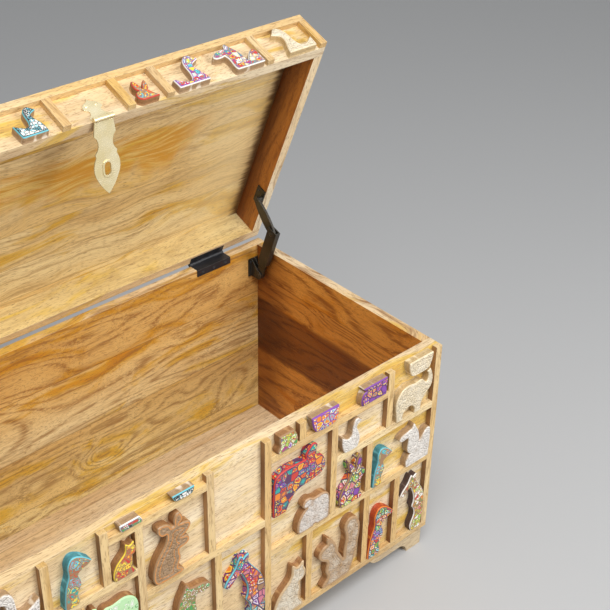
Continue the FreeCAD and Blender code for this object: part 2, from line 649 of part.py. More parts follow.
# Lid stays: each folds as a parallelogram with the lid, so that its lower link turns with the lid
# and its upper link keeps its lean
shut_pivot = Vector(0, -size("stay_reach"), size("stay_rise"))
open_pivot = open_turn.multVec(shut_pivot)
lower_length = shut_pivot.Length
lower_lean = math.degrees(math.atan2(-open_pivot.y, open_pivot.z))
stay_foot = hinge_axis - Vector(0, size("stay_back"), size("stay_drop"))
stay_knee = stay_foot + open_pivot
stay_top = hinge_axis + shut_pivot
upper_length = math.hypot(size("stay_back"), size("stay_drop"))
upper_lean = -math.degrees(math.atan2(size("stay_back"), size("stay_drop")))
STAY_ROOM = "(dims.stay_plate + 2 * dims.stay_side_gap)"
SLEEVE_ROOM = f"({STAY_ROOM} + 2 * dims.stay_side_gap)"
SLEEVE_WIDTH = f"({SLEEVE_ROOM} + 2 * dims.stay_sheet)"
PIN_HOLE = size("stay_pin") + size("running_clearance")


def lower_link(side):
    """A tongue on the lower pivot and a folded sleeve, open behind, with the knee's rivet across it."""
    body = doc.addObject("PartDesign::Body", f"{side}_lower_link")
    sheet_metal, eye = size("stay_sheet"), size("stay_eye")
    web = -size("stay_sleeve_web")
    rear = web + size("stay_sleeve_depth")
    middle = (web + rear) / 2
    low, top = lower_length - size("stay_sleeve_length"), lower_length + eye + sheet_metal
    shoulder = low + size("stay_sleeve_depth") / 2
    sleeve = [
        line((rear, shoulder), (rear, top)),
        line((rear, top), (web, top)),
        line((web, top), (web, shoulder)),
        *bend((web, shoulder), (middle, low), (rear, shoulder), 8),
    ]
    pad(body, body_sketch(body, "YZ_Plane", f"{side}_sleeve", sleeve), SLEEVE_WIDTH, both=True)
    past_rear, past_top = rear + sheet_metal, top + sheet_metal
    inner_web, inner_rear = web + sheet_metal, rear - sheet_metal
    inside = [
        line((past_rear, shoulder), (past_rear, past_top)),
        line((past_rear, past_top), (inner_web, past_top)),
        line((inner_web, past_top), (inner_web, shoulder)),
        *bend((inner_web, shoulder), (middle, low + sheet_metal), (inner_rear, shoulder), 8),
        line((inner_rear, shoulder), (past_rear, shoulder)),
    ]
    pocket(body, body_sketch(body, "YZ_Plane", f"{side}_sleeve_inside", inside), SLEEVE_ROOM)
    tongue = [
        *bend((-eye, 0), (0, -eye), (eye, 0), 8),
        line((eye, 0), (middle + eye, shoulder)),
        line((middle + eye, shoulder), (middle - eye, shoulder)),
        line((middle - eye, shoulder), (-eye, 0)),
    ]
    pad(body, body_sketch(body, "YZ_Plane", f"{side}_tongue", tongue), "dims.stay_plate", both=True)
    pocket(body, body_sketch(body, "YZ_Plane", f"{side}_foot_eye", [circle((0, 0), PIN_HOLE)]), SLEEVE_WIDTH)
    knee = circle((0, lower_length), size("stay_pin"))
    rivet = body_sketch(body, "YZ_Plane", f"{side}_knee_rivet", [knee])
    pad(body, rivet, f"{SLEEVE_ROOM} + dims.stay_sheet", both=True)
    return body


def upper_link(side):
    """A flat leaf that is widest above the knee and narrows to the lid pivot."""
    body = doc.addObject("PartDesign::Body", f"{side}_upper_link")
    eye, top_eye, leaf = size("stay_eye"), size("stay_top_eye"), size("stay_leaf")
    widest = 0.42 * upper_length
    curves = [
        *bend((-eye, 0), (0, -eye), (eye, 0), 8),
        *bend((eye, 0), (leaf, widest), (top_eye, upper_length)),
        *bend((top_eye, upper_length), (0, upper_length + top_eye), (-top_eye, upper_length), 8),
        *bend((-top_eye, upper_length), (-leaf, widest), (-eye, 0)),
    ]
    pad(body, body_sketch(body, "YZ_Plane", f"{side}_leaf", curves), "dims.stay_plate", both=True)
    open_hole = size("stay_pin") + size("open_pivot_clearance")
    eyes = [circle((0, 0), PIN_HOLE), circle((0, upper_length), open_hole)]
    pocket(body, body_sketch(body, "YZ_Plane", f"{side}_upper_eyes", eyes), SLEEVE_WIDTH)
    return body


def box_bracket(side, x):
    """A plate on the back board with two ears and the rivet of the lower pivot between them."""
    body = doc.addObject("PartDesign::Body", f"{side}_box_bracket")
    body.Placement = Placement(stay_foot + Vector(value(x), 0, 0), Rotation())
    reach = value(INNER_BACK) - stay_foot.y
    ear = size("stay_eye") + size("stay_side_gap")
    plate_face = reach - size("stay_bracket_plate")
    high = size("stay_bracket_height") - ear
    ears = [
        *bend((0, ear), (-ear, 0), (0, -ear), 8),
        line((0, -ear), (reach, -ear)),
        line((reach, -ear), (reach, high)),
        line((reach, high), (plate_face, high)),
        line((plate_face, high), (0, ear)),
    ]
    ear_span = f"{STAY_ROOM} + 2 * dims.stay_sheet"
    pad(body, body_sketch(body, "YZ_Plane", f"{side}_ears", ears), ear_span, both=True)
    past = 2 * ear
    throat = polygon([(-past, -past), (plate_face, -past), (plate_face, 2 * high), (-past, 2 * high)])
    pocket(body, body_sketch(body, "YZ_Plane", f"{side}_throat", throat), STAY_ROOM)
    rivet = body_sketch(body, "YZ_Plane", f"{side}_foot_rivet", [circle((0, 0), size("stay_pin"))])
    pad(body, rivet, f"{STAY_ROOM} + dims.stay_sheet", both=True)
    plate = block(
        f"{side}_bracket_plate",
        (f"{x} - dims.stay_bracket_width / 2", "dims.stay_bracket_width"),
        (f"{INNER_BACK} - dims.stay_bracket_plate", "dims.stay_bracket_plate"),
        (f"{HINGE_Z} - dims.stay_drop - dims.stay_eye - dims.stay_side_gap", "dims.stay_bracket_height"),
    )
    return joined(f"{side}_stay_bracket", [body, plate])


for side, sign in STATIONS:
    wall_x = f"({sign} * {INNER_RIGHT})"
    link_x = f"({wall_x} - {sign} * dims.stay_inset)"
    top_y, top_z = f"({HINGE_Y} - dims.stay_reach)", f"({HINGE_Z} + dims.stay_rise)"
    offset = Vector(value(link_x), 0, 0)
    lower, upper = lower_link(side), upper_link(side)
    lower.Placement = Placement(stay_foot + offset, Rotation(Vector(1, 0, 0), lower_lean))
    upper.Placement = Placement(stay_knee + offset, Rotation(Vector(1, 0, 0), upper_lean))
    node(f"{side}_stay_lower_link", lower)
    node(f"{side}_stay_upper_link", upper)
    node(f"{side}_stay_box_bracket", box_bracket(side, link_x))
    # The lid bracket's plate lies on the rim, and its pin stands out of a boss into the upper link's eye
    plate_x = f"({wall_x} - {sign} * dims.stay_bracket_plate)"
    boss_end = f"({link_x} + {sign} * {STAY_ROOM} / 2)"
    pin_end = f"({link_x} - {sign} * {STAY_ROOM} / 2)"
    outward = span if sign > 0 else lambda start, end: span(end, start)
    plate = block(
        f"{side}_lid_bracket_plate",
        outward(plate_x, wall_x),
        (f"{top_y} - dims.stay_lid_plate_length / 2", "dims.stay_lid_plate_length"),
        (f"{LID_BASE} + dims.board_clearance", "dims.stay_lid_plate_height"),
    )
    boss = rod(f"{side}_boss", "dims.stay_pin + dims.stay_sheet", outward(boss_end, plate_x), top_y, top_z)
    pin = rod(f"{side}_lid_pin", "dims.stay_pin", outward(pin_end, plate_x), top_y, top_z)
    node(f"{side}_stay_lid_bracket", joined(f"{side}_lid_bracket", [plate, boss, pin]), LID_OPEN)

# Hasp: a shaped plate on the lid with a pin fast in its barrel, and a long strap that hangs from it
half = size("hasp_barrel") / 2
strap_room = size("hasp_knuckle") + size("knuckle_room")
BARREL_X = ("-dims.hasp_barrel / 2", "dims.hasp_barrel")
STRAP_START = "(-dims.hasp_barrel / 2 + dims.hasp_end_knuckle + dims.knuckle_gap)"


def hasp_plate():
    """A flat plate on the lid's front, waisted above its barrel and pointed at its upper end."""
    body = doc.addObject("PartDesign::Body", "hasp_plate_body")
    body.Placement = Placement(Vector(0, value(FRONT), value(HASP_Z)), Rotation())
    tall = size("hasp_plate_height")
    inner = half - size("hasp_end_knuckle")
    right_side = (
        ((0, strap_room), (inner, strap_room)),
        ((inner, strap_room), (inner, 0)),
        ((inner, 0), (half, 0)),
        ((half, 0), (half, 0.2 * tall)),
        ((half, 0.2 * tall), (0.66 * half, 0.31 * tall), (0.58 * half, 0.46 * tall)),
        ((0.58 * half, 0.46 * tall), (0.92 * half, 0.54 * tall)),
        ((0.92 * half, 0.54 * tall), (0.82 * half, 0.72 * tall), (0.36 * half, 0.84 * tall)),
        ((0.36 * half, 0.84 * tall), (0.12 * half, 0.9 * tall), (0, tall)),
    )
    pad(body, body_sketch(body, "XZ_Plane", "hasp_plate_outline", mirrored(right_side)), "dims.hasp_plate")
    return body


def hasp_strap():
    """A strap with shoulders, a waist, two cusps and a pointed lobe, pierced by a rimmed slot."""
    body = doc.addObject("PartDesign::Body", "hasp_strap_body")
    body.Placement = Placement(Vector(0, value(HASP_Y), value(HASP_Z)), Rotation())
    long = size("hasp_strap_length")
    shoulder, waist, cusp = 1.1 * half, 0.72 * half, 1.12 * half
    notch, lobe = 1.04 * half, 1.34 * half
    right_side = (
        ((0, -strap_room), (0.96 * half, -strap_room)),
        ((0.96 * half, -strap_room), (shoulder, -0.21 * long)),
        ((shoulder, -0.21 * long), (waist, -0.33 * long), (cusp, -0.45 * long)),
        ((cusp, -0.45 * long), (notch, -0.49 * long)),
        ((notch, -0.49 * long), (lobe, -0.64 * long), (notch, -0.79 * long)),
        ((notch, -0.79 * long), (0.6 * half, -0.9 * long), (0, -long)),
    )
    strap = body_sketch(body, "XZ_Plane", "strap_outline", mirrored(right_side))
    pad(body, strap, "dims.hasp_strap", both=True)
    radius = size("hasp_slot_width") / 2
    straight = size("hasp_slot_length") / 2 - radius
    low, high = -size("hasp_slot_drop") - straight, -size("hasp_slot_drop") + straight

    def oval(name, reach):
        curves = [
            line((reach, low), (reach, high)),
            *bend((reach, high), (0, high + reach), (-reach, high), 8),
            line((-reach, high), (-reach, low)),
            *bend((-reach, low), (0, low - reach), (reach, low), 8),
        ]
        return body_sketch(body, "XZ_Plane", name, curves)

    pad(body, oval("slot_rim", radius + size("hasp_slot_rim")), "dims.hasp_strap / 2 + dims.hasp_rim_height")
    pocket(body, oval("slot_hole", radius), "2 * dims.hasp_strap + 2 * dims.hasp_rim_height")
    return body


def barrel(name, radius, x):
    return rod(name, radius, x, HASP_Y, HASP_Z)


end_x = "dims.hasp_end_knuckle"
strap_x = (STRAP_START, f"-2 * {STRAP_START}")
hasp_bore = barrel("hasp_bore", "dims.hasp_pin + dims.running_clearance", BARREL_X)
plate_knuckles = [
    barrel("plate_knuckle_left", "dims.hasp_knuckle", ("-dims.hasp_barrel / 2", end_x)),
    barrel("plate_knuckle_right", "dims.hasp_knuckle", (f"dims.hasp_barrel / 2 - {end_x}", end_x)),
]
strap_neck = block(
    "strap_neck",
    strap_x,
    (f"{HASP_Y} - dims.hasp_strap / 2", "dims.hasp_strap"),
    span(f"({HASP_Z} - dims.hasp_knuckle - 2 * dims.knuckle_room)", HASP_Z),
)
strap_blank = [hasp_strap(), barrel("strap_knuckle", "dims.hasp_knuckle", strap_x), strap_neck]
barrel_axis = Vector(0, value(HASP_Y), value(HASP_Z))
HANGING = Placement(LID_OPEN.multVec(barrel_axis) - barrel_axis, Rotation())
pin_x = (f"-dims.hasp_barrel / 2 + {end_x} / 2", f"dims.hasp_barrel - {end_x}")
hasp_pin = barrel("hasp_pin_rod", "dims.hasp_pin", pin_x)
node("hasp_plate", joined("hasp_plate_barrel", [hasp_plate(), hasp_pin] + plate_knuckles), LID_OPEN)
node("hasp_strap", cut("hasp_strap_bored", joined("hasp_strap_blank", strap_blank), [hasp_bore]), HANGING)

doc.recompute()
for item in doc.Objects:
    if "Invalid" in item.State or "Error" in item.State:
        raise RuntimeError(f"{item.Label} failed: {item.State}")
for part in nodes:
    if part.Shape.isNull() or not part.Shape.isValid():
        raise RuntimeError(f"{part.Label} has no valid shape")

os.makedirs("parts", exist_ok=True)
for part in nodes:
    part.Shape.exportStep(f"parts/{part.Label}.step")
print(len(nodes), "sub-parts")
for name, point in (
    ("hinge axis", hinge_axis),
    ("stay foot", stay_foot),
    ("stay knee", stay_knee),
    ("hasp axis", LID_OPEN.multVec(barrel_axis)),
):
    print(name, round(point.y, 3), round(point.z, 3))
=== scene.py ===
# %% [markdown]
# # A wooden trunk with carved animals
# The trunk's boards, slats, hinges, stays and hasp are solids that were built beforehand. This lesson
# dresses them: it gives the boards their wood, turns the flat animals into carved and painted ones, adds
# the screws, and sets up a studio. Every length is in metres, with the front of the trunk facing -Y.

# %% The solids, and the box around them
import json
import math

import bmesh
import bpy
import numpy as np
from mathutils import Matrix, Vector
from mathutils.geometry import delaunay_2d_cdt


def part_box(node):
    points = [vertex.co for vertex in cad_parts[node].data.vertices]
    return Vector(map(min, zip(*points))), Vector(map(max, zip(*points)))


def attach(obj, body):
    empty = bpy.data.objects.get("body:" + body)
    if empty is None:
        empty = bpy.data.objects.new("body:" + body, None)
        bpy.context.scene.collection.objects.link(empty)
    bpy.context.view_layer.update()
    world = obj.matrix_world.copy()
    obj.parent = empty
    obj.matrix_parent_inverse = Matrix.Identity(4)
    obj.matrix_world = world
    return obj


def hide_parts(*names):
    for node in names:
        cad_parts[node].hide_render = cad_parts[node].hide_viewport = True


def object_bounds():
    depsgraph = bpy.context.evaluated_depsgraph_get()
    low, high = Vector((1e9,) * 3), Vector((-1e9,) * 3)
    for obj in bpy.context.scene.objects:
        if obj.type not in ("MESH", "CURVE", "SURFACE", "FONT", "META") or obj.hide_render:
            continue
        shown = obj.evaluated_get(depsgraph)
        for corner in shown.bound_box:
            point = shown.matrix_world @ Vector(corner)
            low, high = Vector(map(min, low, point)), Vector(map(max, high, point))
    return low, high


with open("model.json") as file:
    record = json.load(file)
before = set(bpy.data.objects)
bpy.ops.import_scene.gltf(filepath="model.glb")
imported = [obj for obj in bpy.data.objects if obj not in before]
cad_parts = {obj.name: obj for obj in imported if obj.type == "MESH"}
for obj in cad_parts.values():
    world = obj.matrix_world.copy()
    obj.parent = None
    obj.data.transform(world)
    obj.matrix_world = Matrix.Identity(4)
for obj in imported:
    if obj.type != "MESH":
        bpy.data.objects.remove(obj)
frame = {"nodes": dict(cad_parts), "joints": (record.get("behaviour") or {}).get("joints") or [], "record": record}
cad_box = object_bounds()
nodes = frame["nodes"]
joints = {joint["name"]: joint for joint in frame["joints"]}
lowest, highest = ([round(value, 3) for value in corner] for corner in cad_box)
print(len(nodes), "solids, from", lowest, "to", highest)

# %% [markdown]
# The lid stands open, but its slats and animals were glued on while it was shut. Patterns are simpler to
# think out on a shut lid, so one matrix shuts it: a turn about the hinge's axis, which the joint gives.
# With the lid shut, a few boxes around solids give the places that the looks need.

# %% Shutting the lid
hinge_point = Vector(joints["lid_hinge"]["pos_m"])
lid_turn = math.radians(joints["lid_hinge"]["range_deg"][1])
to_hinge, from_hinge = Matrix.Translation(-hinge_point), Matrix.Translation(hinge_point)
SHUT = from_hinge @ Matrix.Rotation(lid_turn, 4, "X") @ to_hinge
OPEN = SHUT.inverted()
lid_nodes = set(frame["record"]["behaviour"]["bodies"]["lid"])


def shut_box(name):
    """Lowest and highest corner of a solid with the lid shut."""
    mesh = nodes[name].data
    points = np.empty(3 * len(mesh.vertices))
    mesh.vertices.foreach_get("co", points)
    points = points.reshape(-1, 3)
    if name in lid_nodes:
        points = points @ np.array(SHUT.to_3x3()).T + np.array(SHUT.translation)
    return points.min(0), points.max(0)


board_face = shut_box("front_panel")[0][1]
figure_face = shut_box("front_mouse_figures")[0][1]
inner_x, inner_y = shut_box("right_side_panel")[0][0], shut_box("back_panel")[0][1]
lid_low, lid_ceiling = shut_box("lid_front_rim")[0][2], shut_box("lid_top_panel")[0][2]
animal_thickness = round(board_face - figure_face, 3)
print("the lid carries", len(lid_nodes), "solids; the animals are", animal_thickness, "thick")

# %% [markdown]
# Materials are node graphs, and long graphs are hard to read when every sum needs its own lines. One small
# class wraps a node's output, so that a sum on it in Python adds the Math node. Its method `node` adds any
# other kind of node from its type, its settings and its inputs.


# %% Shader maths as Python expressions
class Wire:
    """One output of a shader node, for use in Python sums."""

    def __init__(self, tree, output=None):
        self.tree = tree
        self.output = output

    def node(self, kind, settings=None, inputs=None, out=0):
        """Any node: its type, its settings, the values or links of its inputs, and the output to use."""
        made = self.tree.nodes.new(kind)
        for name, setting in (settings or {}).items():
            setattr(made, name, setting)
        for name, value in (inputs or {}).items():
            if isinstance(value, Wire):
                self.tree.links.new(value.output, made.inputs[name])
            else:
                made.inputs[name].default_value = value
        return Wire(self.tree, made.outputs[out])

    def math(self, operation, *terms):
        return self.node("ShaderNodeMath", {"operation": operation}, dict(enumerate(terms)))

    def __add__(self, other):
        return self.math("ADD", self, other)

    def __sub__(self, other):
        return self.math("SUBTRACT", self, other)

    def __rsub__(self, other):
        return self.math("SUBTRACT", other, self)

    def __mul__(self, other):
        return self.math("MULTIPLY", self, other)

    def __truediv__(self, other):
        return self.math("DIVIDE", self, other)

    def __mod__(self, other):
        return self.math("FLOORED_MODULO", self, other)

    def __lt__(self, other):
        return self.math("LESS_THAN", self, other)

    def __gt__(self, other):
        return self.math("GREATER_THAN", self, other)

    def __abs__(self):
        return self.math("ABSOLUTE", self)

    __radd__ = __add__
    __rmul__ = __mul__

    def rise(self, low, high):
        """A smooth step from 0 at low to 1 at high."""
        limits = {"Value": self, "From Min": low, "From Max": high}
        return self.node("ShaderNodeMapRange", {"interpolation_type": "SMOOTHSTEP"}, limits)

    def mix(self, under, over, kind="MIX"):
        """Two colours, with this wire saying how much of the second one covers the first."""
        colours = [colour if isinstance(colour, Wire) else (*colour, 1) for colour in (under, over)]
        settings = {"data_type": "RGBA", "blend_type": kind}
        return self.node("ShaderNodeMix", settings, {0: self, 6: colours[0], 7: colours[1]}, 2)

    def tinted(self, tint):
        """This colour multiplied by a tint all over."""
        settings = {"data_type": "RGBA", "blend_type": "MULTIPLY"}
        return self.node("ShaderNodeMix", settings, {0: 1.0, 6: self, 7: (*tint, 1)}, 2)

    def ramp(self, stops, interpolation="LINEAR"):
        """A colour that runs through stops, each a place from 0 to 1 and a colour."""
        wire = self.node("ShaderNodeValToRGB", {}, {"Fac": self}, "Color")
        band = wire.output.node.color_ramp
        band.interpolation = interpolation
        for number, (place, colour) in enumerate(stops):
            stop = band.elements[number] if number < 2 else band.elements.new(place)
            stop.position, stop.color = place, (*colour, 1)
        return wire

    def axes(self):
        """The three numbers of a vector."""
        return [self.node("ShaderNodeSeparateXYZ", {}, {0: self}, axis) for axis in "XYZ"]

    def noise(self, x, y, z, detail=2.0, roughness=0.5, distortion=0.0):
        """Soft random values at a place that is already scaled."""
        place = self.node("ShaderNodeCombineXYZ", {}, {"X": x, "Y": y, "Z": z})
        inputs = {"Vector": place, "Scale": 1.0, "Detail": detail, "Roughness": roughness}
        return self.node("ShaderNodeTexNoise", {}, {**inputs, "Distortion": distortion}, "Fac")

    def cells(self, size, feature="F1", out="Distance"):
        """Cells of a size, scattered: the distance from their middles or edges, or a random colour."""
        settings = {"feature": feature, "voronoi_dimensions": "2D"}
        return self.node("ShaderNodeTexVoronoi", settings, {"Vector": self, "Scale": 1 / size}, out)


print("a wire has", len([name for name in vars(Wire) if not name.startswith("_")]), "methods and its sums")

# %% [markdown]
# Every material starts and ends in the same way: with a Principled shader, and a Bump node for the relief.
# Three helpers keep that out of the finishes. The last one looks for edges. A Bevel node gives the normal
# that an edge would have if it were rounded, and where that differs from the true normal there is an edge.


# %% Materials, relief and edges
def material(name, **fixed):
    """A new material, with the values that are the same all over it, and a wire to start its graph from."""
    made = bpy.data.materials.new(name)
    made.use_nodes = True
    shader = made.node_tree.nodes["Principled BSDF"]
    for socket, value in fixed.items():
        shader.inputs[socket.replace("_", " ").title()].default_value = value
    return made, Wire(made.node_tree)


def connect(made, colour, roughness, height, depth, base=None, strength=0.6):
    """Colour, roughness and relief joined to a material's shader; depth is the relief in metres."""
    shader = made.node_tree.nodes["Principled BSDF"]
    relief = {"Height": height, "Distance": depth, "Strength": strength}
    if base:
        relief["Normal"] = base
    normal = height.node("ShaderNodeBump", {}, relief, "Normal")
    for socket, wire in (("Base Color", colour), ("Roughness", roughness), ("Normal", normal)):
        made.node_tree.links.new(wire.output, shader.inputs[socket])


def edges(start, radius):
    """A normal that rounds edges over a radius, and a value that is 1 on them."""
    flat = start.node("ShaderNodeNewGeometry", {}, {}, "True Normal")
    eased = start.node("ShaderNodeBevel", {"samples": 6}, {"Radius": radius})
    facing = start.node("ShaderNodeVectorMath", {"operation": "DOT_PRODUCT"}, {0: flat, 1: eased}, "Value")
    return eased, 1 - facing.rise(0.80, 0.99)


print("tools for materials ready")

# %% [markdown]
# ## Wood
# The boards are mango wood: pale straw that drifts into dun, with nested growth lines, mustard stains along
# the grain and short brown pores. A picture of boards would repeat itself, so the grain is worked out. It is
# noise that is stretched along one axis, and each board only has to say which way its grain runs. Several
# strands of this noise, from coarse to fine, each lay one colour over the ones below.

# %% Strands of grain
PALE, STRAW, DUN = (0.90, 0.76, 0.53), (0.80, 0.59, 0.32), (0.54, 0.38, 0.23)
MUSTARD, RUST, UMBER = (0.76, 0.50, 0.09), (0.64, 0.31, 0.04), (0.26, 0.13, 0.05)
RING_BROWN, STREAK_BROWN, FIBRE_BROWN = (0.34, 0.18, 0.07), (0.50, 0.31, 0.14), (0.46, 0.28, 0.13)

# For each strand: its scale along and across the grain, its detail, roughness, distortion and offset
STRANDS = {
    "drift": (1.5, 10, 3, 0.5, 0.0, 0.0),
    "dun": (2.1, 15, 3, 0.6, 0.3, 11.0),
    "blot": (3.4, 17, 4, 0.62, 0.9, 23.0),
    "ring": (1.2, 9, 1, 0.5, 0.5, 31.0),
    "streak": (9, 120, 3, 0.6, 0.4, 47.0),
    "fibre": (16, 300, 3, 0.65, 0.0, 0.0),
    "pores": (80, 900, 1, 0.5, 0.0, 0.0),
}


def grain_strands(start, along, across, through, shift, curl):
    """Every strand of noise at a place, where the grain wanders sideways over a width of curl."""
    bend = start.noise(along * 3.4 + shift, across * 5.0 + shift, through * 5.0, 2)
    across = across + (bend - 0.5) * curl
    strands = {}
    for name, (along_scale, across_scale, detail, roughness, distortion, offset) in STRANDS.items():
        along_place = along * along_scale + shift + offset
        across_place = across * across_scale + shift
        through_place = through * across_scale
        strands[name] = start.noise(along_place, across_place, through_place, detail, roughness, distortion)
    return strands


def grain_colour(strands, stain, spread, rings):
    """The colours of bare wood, laid over each other from the pale ground to the pores."""
    fibre, blot = strands["fibre"], strands["blot"] + spread
    colour = strands["drift"].rise(0.36, 0.62).mix(PALE, STRAW)
    colour = (strands["dun"].rise(0.50, 0.72) * 0.55).mix(colour, DUN)
    colour = (blot.rise(0.53, 0.66) * stain).mix(colour, MUSTARD)
    colour = (blot.rise(0.62, 0.76) * stain * 0.8).mix(colour, RUST)
    lines = abs(strands["ring"] * 17.0 % 1.0 - 0.5).rise(0.20, 0.5)
    colour = (lines * fibre.rise(0.3, 0.6) * rings).mix(colour, RING_BROWN)
    colour = (strands["streak"].rise(0.54, 0.72) * 0.28).mix(colour, STREAK_BROWN)
    colour = (fibre.rise(0.46, 0.72) * 0.38).mix(colour, FIBRE_BROWN)
    return (strands["pores"].rise(0.57, 0.70) * 0.6).mix(colour, UMBER)


print(len(STRANDS), "strands of grain")

# %% [markdown]
# The inner faces have marks of their own. Stain was brushed along the lid and ran, and its right end
# bleached. Shade is painted in too: a painted shadow on the lid's board beside its end rims, painted shade on
# those rims, and painted shade towards the back corners of the side boards. The side boards hold a band of
# dark heartwood. Marks could be painted on a map of each board. A smooth step along one axis, made uneven
# by a strand of the grain, is enough here, and it follows the wood.

# %% Marks on the inner faces
END_SHADOW, RIM_SHADE = (0.10, 0.04, 0.012), (0.25, 0.16, 0.10)
HEARTWOOD, CORNER_SHADE = (0.36, 0.24, 0.17), (0.30, 0.16, 0.08)
STAIN_FRONT, STAIN_BACK = 0.080, 0.045  # in front of the lid's middle
STAIN_RUN = 0.085
BLEACH_START, BLEACH_FULL = 0.20, 0.36
HEART_LOW, HEART_HIGH, HEART_SOFTNESS = 0.22, 0.34, 0.012


def lid_marks(colour, place, strands, inside):
    """Stain in a band before the lid's middle, with an uneven edge; a pale right end; painted shadow at both ends.
    """
    x, y = place[:2]
    streak = strands["streak"]
    run = x.noise(x * 9, y * 3, 0.0, 3, 0.6).rise(0.25, 0.75) * STAIN_RUN
    upper = y + STAIN_FRONT + streak * 0.06
    lower = y + STAIN_BACK + streak * 0.05 - run
    band = upper.rise(0.0, 0.024) * (1 - lower.rise(-0.030, 0.030)) * (1 - x.rise(BLEACH_START, 0.30))
    brushed = 0.5 + streak.rise(0.34, 0.60) * 0.5
    colour = (band * brushed * inside).mix(colour, streak.rise(0.36, 0.54).mix(MUSTARD, RUST))
    colour = (x.rise(BLEACH_START, BLEACH_FULL) * inside * 0.4).mix(colour, PALE)
    # Painted shadow: a dark band on the lid's board beside each end rim, where the rim shades it.
    end_shadow = (abs(x) + streak * 0.030).rise(inner_x - 0.008, inner_x + 0.012)
    return (end_shadow * inside * 0.9).mix(colour, END_SHADOW)


def end_rim_marks(colour, place, strands, inside):
    """Shade on the rims at the lid's ends, deeper towards the lid's board."""
    shade = (place[2] + strands["streak"] * 0.020).rise(lid_low + 0.012, lid_ceiling + 0.012)
    return (shade * inside * 0.85).mix(colour, RIM_SHADE, "MULTIPLY")


def side_board_marks(colour, place, strands, inside):
    """A level band of heartwood on the side boards, and shade towards the back corner."""
    y, z = place[1:]
    over_low = (z + strands["streak"] * 0.02).rise(HEART_LOW, HEART_LOW + HEART_SOFTNESS)
    over_high = (z + strands["dun"] * 0.03).rise(HEART_HIGH, HEART_HIGH + HEART_SOFTNESS)
    heart = over_low * (1 - over_high)
    colour = (heart * inside * 0.95).mix(colour, HEARTWOOD, "MULTIPLY")
    shade = (y + strands["streak"] * 0.060).rise(inner_y - 0.090, inner_y + 0.010)
    return (shade * inside * 0.75).mix(colour, CORNER_SHADE, "MULTIPLY")


print("marks for the lid, its end rims and the side boards")

# %% [markdown]
# One function now makes any of the woods. Boards glued edge to edge each get their own shift and tone.
# Inside the trunk the wood is oiled, outside it is tinted by light and hands, and edges are rubbed pale, which
# also paints a highlight along them.
# Patterns on the lid are thought out with the lid shut, so a Mapping node turns their coordinates.

# %% The wood of the boards and slats
PLAIN, HONEY, GOLD = (1.0, 1.0, 1.0), (1.0, 0.97, 0.80), (0.86, 0.66, 0.345)
CHESTNUT, LOW_BACK_PAINTED_LIGHT, BUTTER = (0.96, 0.58, 0.18), (1.38, 1.62, 1.55), (1.16, 1.14, 0.88)
SIDE_LIGHT, SIDE_DARK = (0.44, 0.23, 0.085), (0.20, 0.085, 0.026)
FIRST_JOINT = 0.37
SKIN = 1e-4
WOOD_EDGE = 0.0013


def glued_boards(across, width, seed):
    """A random number for each board of a width, and a value that is 1 in the joints between them."""
    position = across / width + (FIRST_JOINT + seed)
    number = across.math("FLOOR", position)
    own = across.node("ShaderNodeTexWhiteNoise", {"noise_dimensions": "1D"}, {"W": number}, "Value")
    return own, abs(position % 1.0 - 0.5).rise(0.488, 0.4995)


def wood(
    name, grain, on_lid=False, planks=None, plank_tone=(0.78, 0.66, 0.52), stain=0.5, spread=0.0, rings=0.3,
    curl=0.08, seed=0.0, tint=PLAIN, oil=PLAIN, oil_low=None, marks=None, shaded_sides=False,
):
    """Mango wood with its grain along an axis.

    planks is the axis across glued boards and their width. stain, spread and rings are the strength and the
    reach of the stains and the strength of the growth lines. tint colours the outer faces and oil the inner
    ones; oil_low is an axis, two places on it, and the oil below the first place, which gives way to the
    other oil up to the second. marks adds the marks of an inner face, and the last flag paints shade on the
    faces that look to the left or right.
    """
    made, start = material(name)
    place = start.node("ShaderNodeTexCoord", {}, {}, "Object")
    if on_lid:
        turn = {"Vector": place, "Rotation": (lid_turn, 0, 0), "Location": SHUT.translation}
        place = start.node("ShaderNodeMapping", {}, turn)
    x, y, z = place.axes()
    by_axis = {"X": x, "Y": y, "Z": z}
    along, across, through = {"X": (x, y, z), "Y": (y, x, z), "Z": (z, x, y)}[grain]
    shift = seed
    if planks:
        axis, width = planks
        own, joint = glued_boards(by_axis[axis], width, seed)
        shift = own * 7.0 + seed
    strands = grain_strands(start, along, across, through, shift, curl)
    fibre = strands["fibre"]
    colour = grain_colour(strands, stain, spread, rings)
    if planks:
        colour = own.mix(colour, plank_tone, "MULTIPLY")
        colour = (joint * 0.6).mix(colour, UMBER)
    inside = (abs(x) < inner_x + SKIN) * (abs(y) < inner_y + SKIN) * (z < lid_ceiling + SKIN)
    if marks:
        colour = marks(colour, (x, y, z), strands, inside)
    if oil_low:
        axis, low, high, low_oil = oil_low
        oil = by_axis[axis].rise(low, high).mix(low_oil, oil)
    colour = inside.mix(colour, oil, "MULTIPLY")
    colour = inside.mix(colour.tinted(tint), colour)
    # Painted shade: faces that look to the left or right are painted dark brown.
    if shaded_sides:
        sideways = abs(start.node("ShaderNodeNewGeometry", {}, {}, "True Normal").axes()[0])
        tone = start.noise(x * 23 + seed, 0.0, z * 9, 2).rise(0.35, 0.65).mix(SIDE_LIGHT, SIDE_DARK)
        colour = (sideways.rise(0.5, 0.8) * (0.7 + strands["drift"] * 0.5)).mix(colour, tone)
    eased, edge = edges(start, WOOD_EDGE)
    # Pale edges: rubbed wear, and also a painted highlight along them.
    colour = (edge * fibre.rise(0.2, 0.6) * 0.4).mix(colour, PALE)
    roughness = 0.46 + fibre * 0.22 - inside * 0.08
    height = fibre * 0.6 - strands["pores"].rise(0.58, 0.70) * 0.8 + strands["dun"] * 0.5
    connect(made, colour, roughness, height, 0.0005, eased)
    return made


